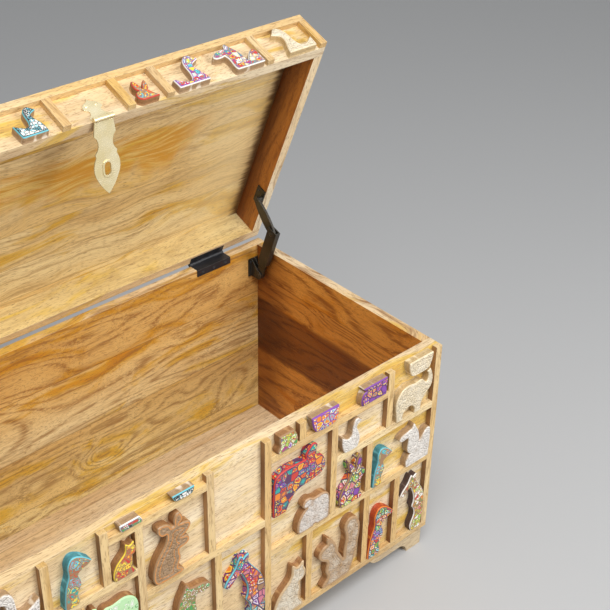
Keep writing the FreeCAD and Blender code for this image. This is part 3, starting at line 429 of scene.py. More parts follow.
WOODS = {
    "front board": wood("front_board_wood", "X", stain=0.95, spread=0.05, rings=0.2, seed=0.3),
    # Painted light: low on the back board, where the front board shades it, a lighter oil brightens the wood.
    "back board": wood(
        "back_board_wood", "X", planks=("Z", 0.118), plank_tone=(0.82, 0.70, 0.52), stain=1.0, spread=0.05,
        rings=0.8, curl=0.16, seed=1.7, oil=GOLD, oil_low=("Z", 0.10, 0.34, LOW_BACK_PAINTED_LIGHT),
    ),
    "bottom board": wood("bottom_board_wood", "X", planks=("Y", 0.105), stain=0.2, seed=2.9),
    "side board": wood(
        "side_board_wood", "Y", planks=("Z", 0.152), stain=1.0, spread=0.04, rings=1.0, curl=0.2, seed=4.1,
        oil=CHESTNUT, marks=side_board_marks,
    ),
    "lid board": wood(
        "lid_board_wood", "X", on_lid=True, planks=("Y", 0.083), plank_tone=(0.86, 0.80, 0.72), stain=1.0,
        spread=0.02, rings=0.5, curl=0.12, seed=5.3, oil=BUTTER, oil_low=("Y", -0.12, 0.10, HONEY),
        marks=lid_marks,
    ),
    "lid rim": wood(
        "lid_rim_wood", "X", on_lid=True, stain=0.9, seed=6.7, tint=(0.92, 0.91, 0.90),
        oil=(0.90, 0.90, 0.70),
    ),
    # The end rims' inner faces are oiled dark, and this dark oil also paints the shade that falls on them.
    "lid end rim": wood(
        "lid_end_rim_wood", "Y", on_lid=True, rings=0.5, seed=7.9, oil=(0.56, 0.25, 0.05),
        marks=end_rim_marks,
    ),
    "foot": wood("foot_wood", "X", stain=0.2, seed=8.3, tint=(0.74, 0.69, 0.62)),
    "cross slat": wood("cross_slat_wood", "X", stain=0.3, seed=9.1, tint=(0.95, 0.88, 0.70)),
    "upright slat": wood(
        "upright_slat_wood", "Z", stain=0.3, seed=10.7, tint=(0.88, 0.78, 0.58), shaded_sides=True
    ),
    "lid rail": wood("lid_rail_wood", "X", on_lid=True, stain=0.2, seed=11.3, tint=(0.92, 0.86, 0.72)),
    "lid upright": wood("lid_upright_wood", "Z", on_lid=True, stain=0.6, seed=12.1, tint=(0.86, 0.77, 0.60)),
}
print(len(WOODS), "woods")

# %% [markdown]
# ## Metal
# The hinges are black steel, the stays dark bronze and the hasp lacquered brass. Metal wears where it is
# handled, so the same look for edges that paled the wood makes the paint thin and the bronze bright, and it
# also paints a highlight along them.

# %% The metals of the hinges, stays and hasp
METAL_EDGE = 0.0007


def metal(name, base, worn, metallic, gloss, fleck, depth):
    """A metal: its colour, the colour of worn edges with a painted highlight, how metallic and how rough it is,
    and its flecks.
    """
    made, start = material(name, metallic=metallic)
    x, y, z = start.node("ShaderNodeTexCoord", {}, {}, "Object").axes()
    cloud = start.noise(x * 34, y * 34, z * 34, 3, 0.5)
    grit = start.noise(x * 900, y * 900, z * 900, 2)
    scratch = start.noise(x * 160, y * 160, z * 1400, 2)
    eased, edge = edges(start, METAL_EDGE)
    colour = (cloud.rise(0.32, 0.78) * fleck).mix(base, worn)
    # Lighter edges: wear where the metal is handled, and also a painted highlight along them.
    colour = (edge * grit.rise(0.3, 0.6) * 0.7).mix(colour, worn)
    roughness = gloss + cloud * 0.16 + scratch.rise(0.5, 0.8) * 0.10
    connect(made, colour, roughness, grit * 0.5 + scratch, depth, eased, 0.3)
    return made


METALS = {
    "hinge": metal(
        "black_steel_paint", (0.014, 0.014, 0.016), (0.10, 0.10, 0.11), metallic=0.0, gloss=0.34, fleck=0.10,
        depth=0.00012,
    ),
    "stay": metal(
        "dark_bronze_paint", (0.026, 0.022, 0.017), (0.17, 0.145, 0.11), metallic=0.45, gloss=0.25,
        fleck=0.25, depth=0.00008,
    ),
    "hasp": metal(
        "lacquered_brass", (0.74, 0.62, 0.34), (0.94, 0.87, 0.66), metallic=0.6, gloss=0.16, fleck=0.5,
        depth=0.000004,
    ),
}
print(len(METALS), "metals")

# %% [markdown]
# The boards, slats and metal keep their solids, so each only needs its material. The names of the solids
# say what they are; the first part of a name that fits gives the finish.

# %% Dressing the solids
FINISHES = (
    ("hasp", METALS["hasp"]),
    ("_hinge_", METALS["hinge"]),
    ("_stay_", METALS["stay"]),
    ("_foot", WOODS["foot"]),
    ("front_panel", WOODS["front board"]),
    ("back_panel", WOODS["back board"]),
    ("bottom_panel", WOODS["bottom board"]),
    ("side_panel", WOODS["side board"]),
    ("lid_top_panel", WOODS["lid board"]),
    ("lid_front_rim", WOODS["lid rim"]),
    ("lid_back_rim", WOODS["lid rim"]),
    ("_rim", WOODS["lid end rim"]),
    ("lid_top_rail", WOODS["lid rail"]),
    ("lid_stiles", WOODS["lid upright"]),
    ("lid_upright", WOODS["lid upright"]),
    ("front_bottom_rail", WOODS["cross slat"]),
    ("cross_slats", WOODS["cross slat"]),
    ("_stiles", WOODS["upright slat"]),
    ("upright_slats", WOODS["upright slat"]),
)
dressed = 0
for name, solid in nodes.items():
    finish = next((made for word, made in FINISHES if word in name), None)
    if finish:
        solid.data.materials.clear()
        solid.data.materials.append(finish)
        dressed += 1
print(dressed, "solids dressed")

# %% [markdown]
# ## Paint and lime
# Some animals are painted in bright patches with lines around them, rows of dots, and lines that follow the
# outline. Others are left as wood, chased with fine punch marks and rubbed with white lime. Both follow the
# animal's outline, so the mesh will carry three things for the shader: a flat map of the front in metres,
# `rim`, the distance to the outline in millimetres, and `up`, the share of the animal's height. Scattered
# cells on the flat map give the patches, the dots and the punch marks.

# %% How an animal is painted
WHITE, BLACK, GREY, BROWN = (0.86, 0.83, 0.77), (0.03, 0.028, 0.03), (0.22, 0.20, 0.22), (0.34, 0.19, 0.09)
RED, ORANGE, YELLOW, ROSE = (0.58, 0.045, 0.03), (0.78, 0.23, 0.025), (0.88, 0.64, 0.06), (0.62, 0.19, 0.25)
GREEN, LIME, MINT, TEAL = (0.08, 0.32, 0.08), (0.42, 0.55, 0.10), (0.50, 0.76, 0.42), (0.03, 0.36, 0.33)
SKY, BLUE, PURPLE, PLUM = (0.15, 0.52, 0.60), (0.07, 0.14, 0.48), (0.22, 0.06, 0.36), (0.10, 0.035, 0.10)
DOT_GAP = 0.0038
EDGE_LINE_MM, INNER_LINE_MM = 1.0, 2.0


def front_map(start):
    """The map of an animal's front, the distance to its outline, and the share of its height."""
    flat = start.node("ShaderNodeUVMap", {"uv_map": "front"}, {}, "UV")
    rim = start.node("ShaderNodeAttribute", {"attribute_name": "rim"}, {}, "Fac")
    up = start.node("ShaderNodeAttribute", {"attribute_name": "up"}, {}, "Fac")
    return flat, rim, up


def stepped(wire, colours):
    """Equal steps of colour along a value from 0 to 1."""
    return wire.ramp([(number / len(colours), colour) for number, colour in enumerate(colours)], "CONSTANT")


def painted(name, zones, grounds, dots, line, edge, patch):
    """Zones of paint up the animal, patches on them with lines around, dots, and lines along the outline."""
    made, start = material(name)
    flat, rim, up = front_map(start)
    u, v = flat.axes()[:2]
    pick, turn = flat.cells(patch, out="Color").axes()[:2]
    border = flat.cells(patch, "DISTANCE_TO_EDGE")
    spot = flat.cells(DOT_GAP)
    spot_pick = flat.cells(DOT_GAP, out="Color").axes()[1]
    wobble = start.noise(u * 120, v * 120, 0.0, 2)
    worn = start.noise(u * 420, v * 420, 0.0, 3)
    colour = (turn > 0.62).mix(stepped(up + wobble * 0.16 - 0.08, zones), stepped(pick, grounds))
    ring = (border > 0.14) * (border < 0.24) * (pick > 0.35)
    colour = ring.mix(colour, stepped((pick * 3.0 + turn) % 1.0, dots))
    dotted = (spot < 0.30) * (turn < 0.72)
    colour = dotted.mix(colour, stepped(spot_pick, dots))
    seam = border < 0.07
    colour = seam.mix(colour, line)
    colour = (rim < INNER_LINE_MM).mix(colour, line)
    colour = (rim < EDGE_LINE_MM).mix(colour, edge)
    colour = (worn.rise(0.64, 0.74) * 0.4).mix(colour, BROWN)
    height = dotted * 0.8 + seam + worn * 0.4 + ring * 0.4
    connect(made, colour, 0.36 + worn * 0.25, height, 0.0003)
    return made


print("paints ready")

# %% [markdown]
# Lime is rubbed into the wood and wiped off, so it stays in the punch marks and on a part of the surface,
# and leaves a margin of bare wood along the outline. Where little lime is left, the punch marks and cut lines
# are darkened as painted shade. The sawn sides of an animal show end grain, with paint or lime that ran over
# the edge.

# %% How an animal is limed, and its sides
CUT_SPACE = 0.0034
PUNCH_GAP, CURL_GAP = 0.0036, 0.0095
LINES_MM = ((2.6, 0.8), (10.5, 0.7))


def darker(colour, share):
    """A colour with only a share of its light."""
    return tuple(value * share for value in colour)


def limed(name, bare, lime, amount, margin, line=None):
    """Chased wood rubbed with lime inside a bare margin in millimetres, and two lines if given a colour."""
    made, start = material(name)
    flat, rim = front_map(start)[:2]
    u, v = flat.axes()[:2]
    cloud = start.noise(u * 60, v * 60, 0.0, 3, 0.6)
    fibre = start.noise(u * 60, v * 700, 0.0, 2)
    punch = 1 - flat.cells(PUNCH_GAP).rise(0.14, 0.44)
    curl = 1 - flat.cells(CURL_GAP, "DISTANCE_TO_EDGE").rise(0.02, 0.20)
    cut = abs(rim / (CUT_SPACE * 1000) % 1.0 - 0.5).rise(0.34, 0.48)
    within = (rim + cloud * 3.0 - 1.5).rise(margin, margin + 0.8)
    hollow = (punch * 0.5 + cut * 0.5) * within
    colour = (fibre.rise(0.42, 0.7) * 0.5).mix(bare, darker(bare, 0.62))
    filled_marks = punch * (1 - amount) + amount
    rubbed = cloud.rise(0.5 - amount * 0.5, 1.0 - amount * 0.5) * filled_marks * within
    colour = rubbed.mix(colour, lime)
    # Painted shade: the punch marks and cut lines are darkened where little lime is left.
    colour = (hollow * (1 - cloud.rise(0.40, 0.75)) * 0.6).mix(colour, darker(bare, 0.5))
    if line:
        outer, inner = (abs(rim - middle) < half_width for middle, half_width in LINES_MM)
        colour = ((outer + inner) * fibre.rise(0.1, 0.4)).mix(colour, line)
    connect(made, colour, 0.27 + fibre * 0.2, fibre * 0.2 - hollow - curl * within, 0.0010, strength=0.9)
    return made


def sawn_side(name, deep, light):
    """The sawn sides of an animal: end grain, with paint or lime that ran over the edge."""
    made, start = material(name)
    u, v = front_map(start)[0].axes()[:2]
    fibre = start.noise(u * 160, v * 900, 0.0, 3, 0.6)
    run = start.noise(u * 70, v * 30, 3.0, 2)
    colour = fibre.rise(0.35, 0.7).mix(deep, darker(deep, 0.6))
    colour = (run.rise(0.54, 0.66) * 0.8).mix(colour, light)
    connect(made, colour, 0.5 + fibre * 0.2, fibre, 0.0004)
    return made


print("lime and sawn sides ready")

# %% [markdown]
# With these, a finish is one row of a table. Each row ends with the name of its sides; a painted animal
# whose row says `own` has the paint run over its sides as well. Chased animals are cut deeper than painted
# ones, whose ground is nearly flat.

# %% The finishes of the animals
CUT_DEPTH, PAINT_DEPTH = 0.0011, 0.0003
SIDE_COLOURS = {
    "wood": ((0.36, 0.17, 0.06), (0.48, 0.27, 0.11)),
    "limed": ((0.42, 0.26, 0.13), (0.72, 0.61, 0.47)),
    "straw": ((0.60, 0.42, 0.20), (0.76, 0.60, 0.36)),
    "dark": ((0.085, 0.045, 0.032), (0.30, 0.21, 0.19)),
    "sky": ((0.06, 0.26, 0.30), (0.14, 0.46, 0.52)),
    "red": ((0.50, 0.07, 0.015), (0.80, 0.27, 0.04)),
}

# Bare wood, lime, amount of lime, bare margin in millimetres, colour of the lines, and sides
LIMED = {
    "limed": ((0.56, 0.42, 0.29), (0.82, 0.77, 0.71), 0.95, 0.0, None, "limed"),
    "silvered": ((0.47, 0.29, 0.16), (0.78, 0.72, 0.66), 0.85, 2.6, None, "wood"),
    "chased": ((0.46, 0.28, 0.14), (0.76, 0.66, 0.53), 0.55, 5.0, None, "wood"),
    "pale": ((0.62, 0.44, 0.25), (0.84, 0.76, 0.62), 0.75, 3.6, None, "wood"),
    "straw": ((0.82, 0.68, 0.46), (0.88, 0.80, 0.66), 0.40, 0.5, None, "straw"),
    "lined": ((0.40, 0.24, 0.12), (0.72, 0.60, 0.46), 0.15, 5.0, (0.66, 0.26, 0.06), "wood"),
}

# Zones from the foot up, patches, dots; then lines between patches, line at the edge, patch size, and sides
PAINTED = {
    "patchwork": (
        (RED, PLUM, RED, PURPLE, RED, TEAL), (RED, PLUM, ORANGE, TEAL, RED), (YELLOW, ORANGE, TEAL, PLUM),
        PLUM, RED, 0.012, "own",
    ),
    "medley": (
        (LIME, PURPLE, ROSE, GREEN, BROWN, BROWN), (PURPLE, ORANGE, GREEN, RED),
        (YELLOW, ORANGE, WHITE, LIME), PLUM, BROWN, 0.013, "own",
    ),
    "sky": (
        (YELLOW, TEAL, SKY, BROWN, SKY), (SKY, BROWN, TEAL, SKY), (TEAL, RED, YELLOW, BROWN),
        BROWN, SKY, 0.010, "sky",
    ),
    "mosaic": (
        (TEAL, ORANGE, PURPLE, RED, GREEN), (RED, GREEN, ORANGE, PURPLE, TEAL), (YELLOW, WHITE, SKY, ORANGE),
        PLUM, ORANGE, 0.010, "red",
    ),
    "dotted": (
        (LIME, BROWN, WHITE, BROWN), (WHITE, YELLOW, LIME, RED), (YELLOW, GREEN, WHITE, RED),
        BROWN, WHITE, 0.007, "dark",
    ),
    "parade": (
        (BLUE, SKY, BROWN, ORANGE, RED, RED, TEAL), (ROSE, BROWN, ORANGE, PURPLE),
        (ORANGE, WHITE, PURPLE, YELLOW), PLUM, SKY, 0.013, "own",
    ),
    "violet": (
        (PURPLE, PURPLE), (PURPLE, GREY, PURPLE), (YELLOW, ORANGE, YELLOW),
        PLUM, PURPLE, 0.013, "limed",
    ),
    "amber": ((ORANGE, ORANGE), (ORANGE, ROSE, BLUE), (WHITE, YELLOW, SKY), PURPLE, PURPLE, 0.012, "limed"),
    "garden": (
        (LIME, LIME), (GREEN, ROSE, LIME, PURPLE), (YELLOW, RED, WHITE, GREEN),
        BROWN, BROWN, 0.009, "wood",
    ),
    "canary": (
        (RED, WHITE, PURPLE, SKY, YELLOW, YELLOW), (YELLOW, WHITE, SKY), (TEAL, RED, WHITE),
        PURPLE, WHITE, 0.009, "limed",
    ),
    "plume": (
        (RED, WHITE, RED, RED, TEAL, TEAL), (RED, TEAL, WHITE), (YELLOW, RED, PURPLE),
        GREY, WHITE, 0.009, "limed",
    ),
    "ember": (
        (GREY, BROWN, GREY, RED, RED), (BROWN, GREY, RED), (YELLOW, SKY, ORANGE),
        BROWN, RED, 0.010, "wood",
    ),
    "scaly": (
        (RED, GREEN, GREEN, BROWN, BROWN), (GREEN, GREEN, BROWN), (WHITE, GREEN, LIME),
        BROWN, BROWN, 0.007, "wood",
    ),
    "night": ((GREEN, RED), (BLACK, GREEN, WHITE), (RED, WHITE, GREEN), GREY, WHITE, 0.008, "limed"),
    "striped": ((WHITE, BLACK), (WHITE, BLACK), (WHITE, SKY), BLACK, SKY, 0.006, "limed"),
    "sun": (
        (RED, YELLOW, ORANGE, YELLOW), (YELLOW, RED, ORANGE, BROWN), (RED, YELLOW, BROWN),
        BROWN, YELLOW, 0.0075, "wood",
    ),
    "mint": ((MINT, MINT), (MINT, WHITE, MINT), (WHITE, MINT, GREEN), MINT, MINT, 0.010, "wood"),
}
SIDES = {side: sawn_side(f"animal_side_{side}", *colours) for side, colours in SIDE_COLOURS.items()}
LOOKS = {}
for look, (*finish, side) in LIMED.items():
    LOOKS[look] = (limed(f"{look}_animal", *finish), SIDES[side], CUT_DEPTH)
for look, (*finish, side) in PAINTED.items():
    paint = painted(f"{look}_paint", *finish)
    LOOKS[look] = (paint, SIDES.get(side, paint), PAINT_DEPTH)
print(len(LOOKS), "finishes for the animals")

# %% [markdown]
# ## Animals
# The solids of the animals are flat sawn shapes. A carver would round their edges and cut into their
# fronts, so each is made again as a surface over its own outline. The outline is read from the front face
# of the solid and smoothed. Points fill it like a net, and a Delaunay triangulation joins them.

# %% Reading and filling an outline
EDGE_ROUND = 0.0024
OUTLINE_STEP, NET_STEP, RING_STEP = 0.0014, 0.0019, 0.0007
RINGS = 3
RING_MARGIN, NET_MARGIN = 0.0006, 0.0028
GENTLE_CUT, SHARP_CUT = 0.24, 0.04


def outlines(name):
    """Outlines of a node's animals with the lid shut, as arrays of x and z, from the left to the right."""
    solid = bmesh.new()
    solid.from_mesh(nodes[name].data)
    bmesh.ops.remove_doubles(solid, verts=solid.verts, dist=1e-5)
    if name in lid_nodes:
        bmesh.ops.transform(solid, matrix=SHUT, verts=solid.verts)
    solid.normal_update()
    bmesh.ops.dissolve_limit(solid, angle_limit=0.02, verts=solid.verts, edges=solid.edges)
    solid.normal_update()
    fronts = [face for face in solid.faces if face.normal.y < -0.99]
    found = [np.array([corner.co.xz for corner in face.verts]) for face in fronts]
    solid.free()
    return sorted(found, key=lambda corners: corners[:, 0].min() + corners[:, 0].max())


def eased_outline(corners):
    """Cuts each corner twice, gentle ones more than sharp ones, then spaces points evenly along it."""
    for _ in range(2):
        back, on = np.roll(corners, 1, 0) - corners, np.roll(corners, -1, 0) - corners
        lengths = np.linalg.norm(back, axis=1) * np.linalg.norm(on, axis=1)
        straight = -(back * on).sum(1) / lengths
        share = np.where(straight > 0.5, GENTLE_CUT, SHARP_CUT)[:, None]
        corners = np.stack([corners + share * back, corners + share * on], 1).reshape(-1, 2)
    closed = np.vstack([corners, corners[:1]])
    travel = np.concatenate([[0], np.cumsum(np.linalg.norm(np.diff(closed, axis=0), axis=1))])
    stations = np.linspace(0, travel[-1], max(12, int(travel[-1] / OUTLINE_STEP)), endpoint=False)
    return np.stack([np.interp(stations, travel, closed[:, axis]) for axis in (0, 1)], 1)


def rim_distance(points, outline):
    """Distance from each point to the nearest edge of an outline, and whether it lies inside."""
    start, along = outline, np.roll(outline, -1, 0) - outline
    offset = points[:, None, :] - start[None]
    share = np.clip((offset * along).sum(2) / (along**2).sum(1), 0, 1)
    gap = offset - share[..., None] * along
    reach = np.sqrt((gap**2).sum(2)).min(1)
    above = start[:, 1] > points[:, 1:2]
    crossing = above != np.roll(above, -1, 1)
    rise = np.where(along[:, 1] == 0, 1e-12, along[:, 1])
    meet = start[:, 0] + (points[:, 1:2] - start[:, 1]) * along[:, 0] / rise
    inside = (crossing & (points[:, 0:1] < meet)).sum(1) % 2 == 1
    return reach, inside


def filled(outline):
    """Points over an outline and the triangles that join them: the outline, rings inside it, and a net."""
    low, high = outline.min(0), outline.max(0)
    columns, rows = (np.arange(a, b, NET_STEP) for a, b in zip(low, high))
    net = np.stack(np.meshgrid(columns, rows), -1).reshape(-1, 2)
    net[:, 0] += np.where(np.round((net[:, 1] - low[1]) / NET_STEP) % 2 == 0, 0, NET_STEP / 2)
    tangent = np.roll(outline, -1, 0) - np.roll(outline, 1, 0)
    inward = np.stack([-tangent[:, 1], tangent[:, 0]], 1)
    inward /= np.linalg.norm(inward, axis=1)[:, None]
    ring_numbers = np.arange(1, RINGS + 1)[:, None, None]
    rings = (outline[None] + ring_numbers * RING_STEP * inward[None]).reshape(-1, 2)
    kept = [outline]
    for points, margin in ((rings, RING_MARGIN), (net, NET_MARGIN)):
        reach, inside = rim_distance(points, outline)
        kept.append(points[inside & (reach > margin)])
    edge = [list(range(len(outline)))]
    found = delaunay_2d_cdt([Vector(point) for point in np.vstack(kept)], [], edge, 1, 1e-7)
    return np.array(found[0]), np.array(found[2])


print("outline tools ready")

# %% [markdown]
# The height of each point comes from its distance to the outline: a quarter circle at the edge, then cut
# lines that follow the edge inside. A Bevel modifier could round the edge but not cut the lines, so both are
# one formula. The flat map for the paint and the distance to the rim are worked out along with it.

# %% Carving an animal
CUT_WIDTH, CUT_START = 0.0005, 0.002
SIDE_MAP = 0.006


def carved(outline, depth):
    """One carved animal: points, faces, whether each face is on the front, the map, and the rim distances.

    With r the distance to the rim, the front drops by a quarter circle of radius EDGE_ROUND at the rim, and
    by a bell-shaped cut of the given depth wherever r is a multiple of CUT_SPACE. Straight sides run from
    the rim to the board, and one flat face closes the back.
    """
    flat, triangles = filled(outline)
    reach = rim_distance(flat, outline)[0]
    rounding = EDGE_ROUND - np.clip(reach, 0, EDGE_ROUND)
    drop = EDGE_ROUND - np.sqrt(np.maximum(EDGE_ROUND**2 - rounding**2, 0))
    from_cut = (reach + CUT_SPACE / 2) % CUT_SPACE - CUT_SPACE / 2
    cut = np.exp(-((from_cut / CUT_WIDTH) ** 2)) * (reach > CUT_START)
    front = np.stack([flat[:, 0], figure_face + drop + depth * cut, flat[:, 1]], 1)
    rim = ((flat[None] - outline[:, None]) ** 2).sum(2).argmin(1)
    count = len(outline)
    rings = [rim, len(flat) + np.arange(count), len(flat) + count + np.arange(count)]
    levels = [(figure_face + EDGE_ROUND + board_face) / 2, board_face]
    walls = [np.stack([outline[:, 0], np.full(count, level), outline[:, 1]], 1) for level in levels]
    quads = [np.stack([a, b, np.roll(b, -1), np.roll(a, -1)], 1) for a, b in zip(rings, rings[1:])]
    faces = triangles.tolist() + np.vstack(quads).tolist() + [rings[2].tolist()]
    on_front = np.arange(len(faces)) < len(triangles)
    travel = np.arange(count) * OUTLINE_STEP
    steps = np.stack([travel, travel, travel + OUTLINE_STEP, travel + OUTLINE_STEP], 1)
    depths = SIDE_MAP * np.array([[0, 1, 1, 0], [1, 2, 2, 1]])
    wall_map = [np.stack([steps, np.tile(row, (count, 1))], -1).reshape(-1, 2) for row in depths]
    maps = np.vstack([flat[triangles].reshape(-1, 2), *wall_map, outline])
    reach = np.concatenate([reach, *(np.full(count, level - figure_face) for level in levels)])
    return np.vstack([front, *walls]), faces, on_front, maps, reach


print("carving tools ready")

# %% [markdown]
# Each animal gets a finish. The list below gives, for every solid, the finishes of its animals from left to
# right. An animal that the seam saws through has one part on the box and one on the lid, and a painter who
# came after the saw gave some of these parts different colours.

# %% The carved animals
WEAR = {
    "front_calf_figures": ("patchwork",),
    "front_cat_figures": ("sun", "night", "pale"),
    "front_elephant_figures": ("mint", "straw"),
    "front_giraffe_figures": ("parade", "dotted"),
    "front_goose_figures": ("limed", "striped", "amber", "limed", "straw"),
    "front_horse_figures": ("mosaic", "scaly", "violet", "limed"),
    "front_lamb_figures": ("chased", "limed", "silvered"),
    "front_mouse_figures": ("lined",),
    "front_parrot_figures": ("sky", "sky", "mosaic"),
    "front_rabbit_figures": ("limed", "garden", "medley"),
    "front_squirrel_figures": ("chased",),
    "lid_cat_figures": ("night",),
    "lid_elephant_figures": ("sun",),
    "lid_goose_figures": ("striped", "canary", "straw"),
    "lid_horse_figures": ("plume",),
    "lid_rabbit_figures": ("violet", "ember"),
}


def link(name, points, faces, body, materials):
    """A new piece of the part, opened with the lid where it belongs there."""
    mesh = bpy.data.meshes.new(name)
    mesh.from_pydata(points.tolist(), [], faces)
    for made in materials:
        mesh.materials.append(made)
    if body == "lid":
        mesh.transform(OPEN)
    mesh.update()
    piece = bpy.data.objects.new(name, mesh)
    bpy.context.scene.collection.objects.link(piece)
    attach(piece, body)
    return piece


def animal_piece(name):
    """All animals of one node as one mesh, with the map of the front, the rim and the height's share."""
    points, faces, slots, materials = [], [], [], []
    maps, rims, ups = [], [], []
    first = 0
    for corners, look in zip(outlines(name), WEAR[name], strict=True):
        front, side, depth = LOOKS[look]
        materials += [made for made in dict.fromkeys((front, side)) if made not in materials]
        own_points, own_faces, on_front, own_map, reach = carved(eased_outline(corners), depth)
        points.append(own_points)
        faces += [[first + corner for corner in face] for face in own_faces]
        slots.append(np.where(on_front, materials.index(front), materials.index(side)))
        maps.append(own_map)
        rims.append(reach * 1000)
        height = own_points[:, 2]
        ups.append((height - height.min()) / (height.max() - height.min()))
        first += len(own_points)
    label = name.replace("_figures", "_carvings")
    body = "lid" if name in lid_nodes else "box"
    piece = link(label, np.vstack(points), faces, body, materials)
    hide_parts(name)
    mesh = piece.data
    mesh.polygons.foreach_set("material_index", np.concatenate(slots))
    mesh.polygons.foreach_set("use_smooth", np.ones(len(mesh.polygons), bool))
    mesh.uv_layers.new(name="front").data.foreach_set("uv", np.vstack(maps).ravel())
    for attribute, values in (("rim", rims), ("up", ups)):
        mesh.attributes.new(attribute, "FLOAT", "POINT").data.foreach_set("value", np.concatenate(values))
    return piece


animals = [animal_piece(name) for name in WEAR]
print(len(animals), "groups of animals,", sum(len(piece.data.polygons) for piece in animals), "faces")

# %% [markdown]
# ## Screws and rivets
# The hinges, stays and hasp are screwed on. A screw head is a shallow dome with a slot: a surface of radius
# and angle, whose height falls off as the radius grows and drops along the slot. The heads are written once
# at the origin, facing +Z, and matrices set copies on the metal. Rivets are the same dome without the slot.

# %% Domed heads
DOME_RINGS, DOME_SPOKES = 7, 24
SKIRT = 0.0004


def dome(radius, rise, slot):
    """Points and faces of a head: height = rise * (1 - (r / radius)^2), lowered where |y| < slot."""
    r = np.linspace(0.02, 1, DOME_RINGS)[:, None] * radius
    angle = np.linspace(0, 2 * np.pi, DOME_SPOKES, endpoint=False)[None]
    x, y = r * np.cos(angle), r * np.sin(angle)
    z = rise * (1 - (r / radius) ** 2) + 0 * angle
    z = np.where((np.abs(y) < slot) & (r < 0.95 * radius), z - 0.6 * rise, z)
    skirt = np.stack([x[-1], y[-1], np.full(DOME_SPOKES, -SKIRT)], -1)
    points = np.vstack([np.stack([x, y, z], -1).reshape(-1, 3), skirt])
    ring, spoke = np.meshgrid(np.arange(DOME_RINGS), np.arange(DOME_SPOKES), indexing="ij")
    here, there = ring * DOME_SPOKES + spoke, ring * DOME_SPOKES + (spoke + 1) % DOME_SPOKES
    faces = np.stack([here, here + DOME_SPOKES, there + DOME_SPOKES, there], -1).reshape(-1, 4).tolist()
    top, foot = list(range(DOME_SPOKES)), list(range(len(points)))[-DOME_SPOKES:]
    return points, faces + [top, foot[::-1]]


def heads(name, body, slot, finish, places, radius, rise, cut=0):
    """One piece of many heads: each place is a point, the way it faces, and the turn of its slot."""
    shape, shape_faces = dome(radius, rise, cut)
    points, faces = [], []
    for number, (point, facing, turn) in enumerate(places):
        aim = Vector(facing).to_track_quat("Z", "Y").to_matrix() @ Matrix.Rotation(turn, 3, "Z")
        points.append(shape @ np.array(aim).T + np.array(point))
        faces += [[number * len(shape) + corner for corner in face] for face in shape_faces]
    return link(name, np.vstack(points), faces, body, [finish])


print("a head has", len(dome(1, 1, 0)[1]), "faces")

# %% [markdown]
# Each hinge leaf has three screws and each stay bracket two. When the lid is shut the leaves of a hinge lie
# on each other, so the screws of the lid's leaves are sunk flush. Boxes around the metal give the places,
# and the joints give the pins that the rivets close.

# %% Screws and rivets in place
SCREW = {"radius": 0.0027, "rise": 0.0008, "cut": 0.0005}
FLUSH_SCREW = {"radius": 0.0027, "rise": 0.00012}
HASP_SCREW = {"radius": 0.0028, "rise": 0.0011, "cut": 0.0005}
LEAF_SHARES = (0.16, 0.5, 0.84)
BOX_LEAF_INSET, LID_LEAF_INSET = 0.0055, 0.0052
BRACKET_THICKNESS, BRACKET_INSET, BRACKET_OFFSET = 0.0025, 0.006, 0.0065
HASP_THICKNESS = 0.0016
HASP_SCREWS = ((-0.0105, 0.005, 0.4), (0.0105, 0.005, 1.9), (-0.0080, 0.029, 2.6), (0.0080, 0.029, 1.1))
RIVET_RISE = 0.0011

box_screws, lid_screws, flush_screws = [], [], []
for side, sign in (("left", -1), ("right", 1)):
    low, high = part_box(f"{side}_hinge_box_leaf")
    leaf_low = shut_box(f"{side}_hinge_lid_leaf")[0]
    for number, share in enumerate(LEAF_SHARES):
        across = low.x + share * (high.x - low.x)
        turn = 0.5 + 1.3 * number + (sign > 0)
        box_screws.append(((across, low.y, low.z + BOX_LEAF_INSET), (0, -1, 0), turn))
        flush_point = (across, leaf_low[1] + LID_LEAF_INSET, leaf_low[2])
        flush_screws.append((flush_point, (0, 0, -1), 0.9 + 1.7 * number))
    low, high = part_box(f"{side}_stay_box_bracket")
    plate_low, plate_high = shut_box(f"{side}_stay_lid_bracket")
    middle, plate_y = (low.x + high.x) / 2, (plate_low[1] + plate_high[1]) / 2
    for number, offset in enumerate((-BRACKET_OFFSET, BRACKET_OFFSET)):
        box_point = (middle + offset, high.y - BRACKET_THICKNESS, high.z - BRACKET_INSET)
        box_screws.append((box_point, (0, -1, 0), 0.4 + number))
        lid_x = sign * (inner_x - BRACKET_THICKNESS)
        lid_point = (lid_x, plate_y + 1.7 * offset, plate_high[2] - BRACKET_INSET)
        lid_screws.append((lid_point, (-sign, 0, 0), 0.3 + number))
hasp_front = board_face - HASP_THICKNESS
hasp_screws = [((x, hasp_front, lid_low + up), (0, -1, 0), turn) for x, up, turn in HASP_SCREWS]
heads("box_screw_heads", "box", "black_steel", METALS["hinge"], box_screws, **SCREW)
heads("lid_screw_heads", "lid", "black_steel", METALS["hinge"], lid_screws, **SCREW)
heads("lid_leaf_screw_heads", "lid", "black_steel", METALS["hinge"], flush_screws, **FLUSH_SCREW)
heads("hasp_screw_heads", "lid", "brass", METALS["hasp"], hasp_screws, **HASP_SCREW)
for side in ("left", "right"):
    rivets = (("knee", f"{side}_stay_lower", 0.0052, 0.0042), ("foot", "box", 0.0046, 0.0040))
    for pivot, body, half_length, radius in rivets:
        x, y, z = joints[f"{side}_stay_{pivot}"]["pos_m"]
        ends = [((x + way * half_length, y, z), (way, 0, 0), 0) for way in (-1, 1)]
        label = f"{side}_{pivot}_rivet_heads"
        heads(label, body, "dark_bronze", METALS["stay"], ends, radius, RIVET_RISE)
print(len(box_screws) + len(lid_screws) + len(flush_screws) + len(hasp_screws), "screws")

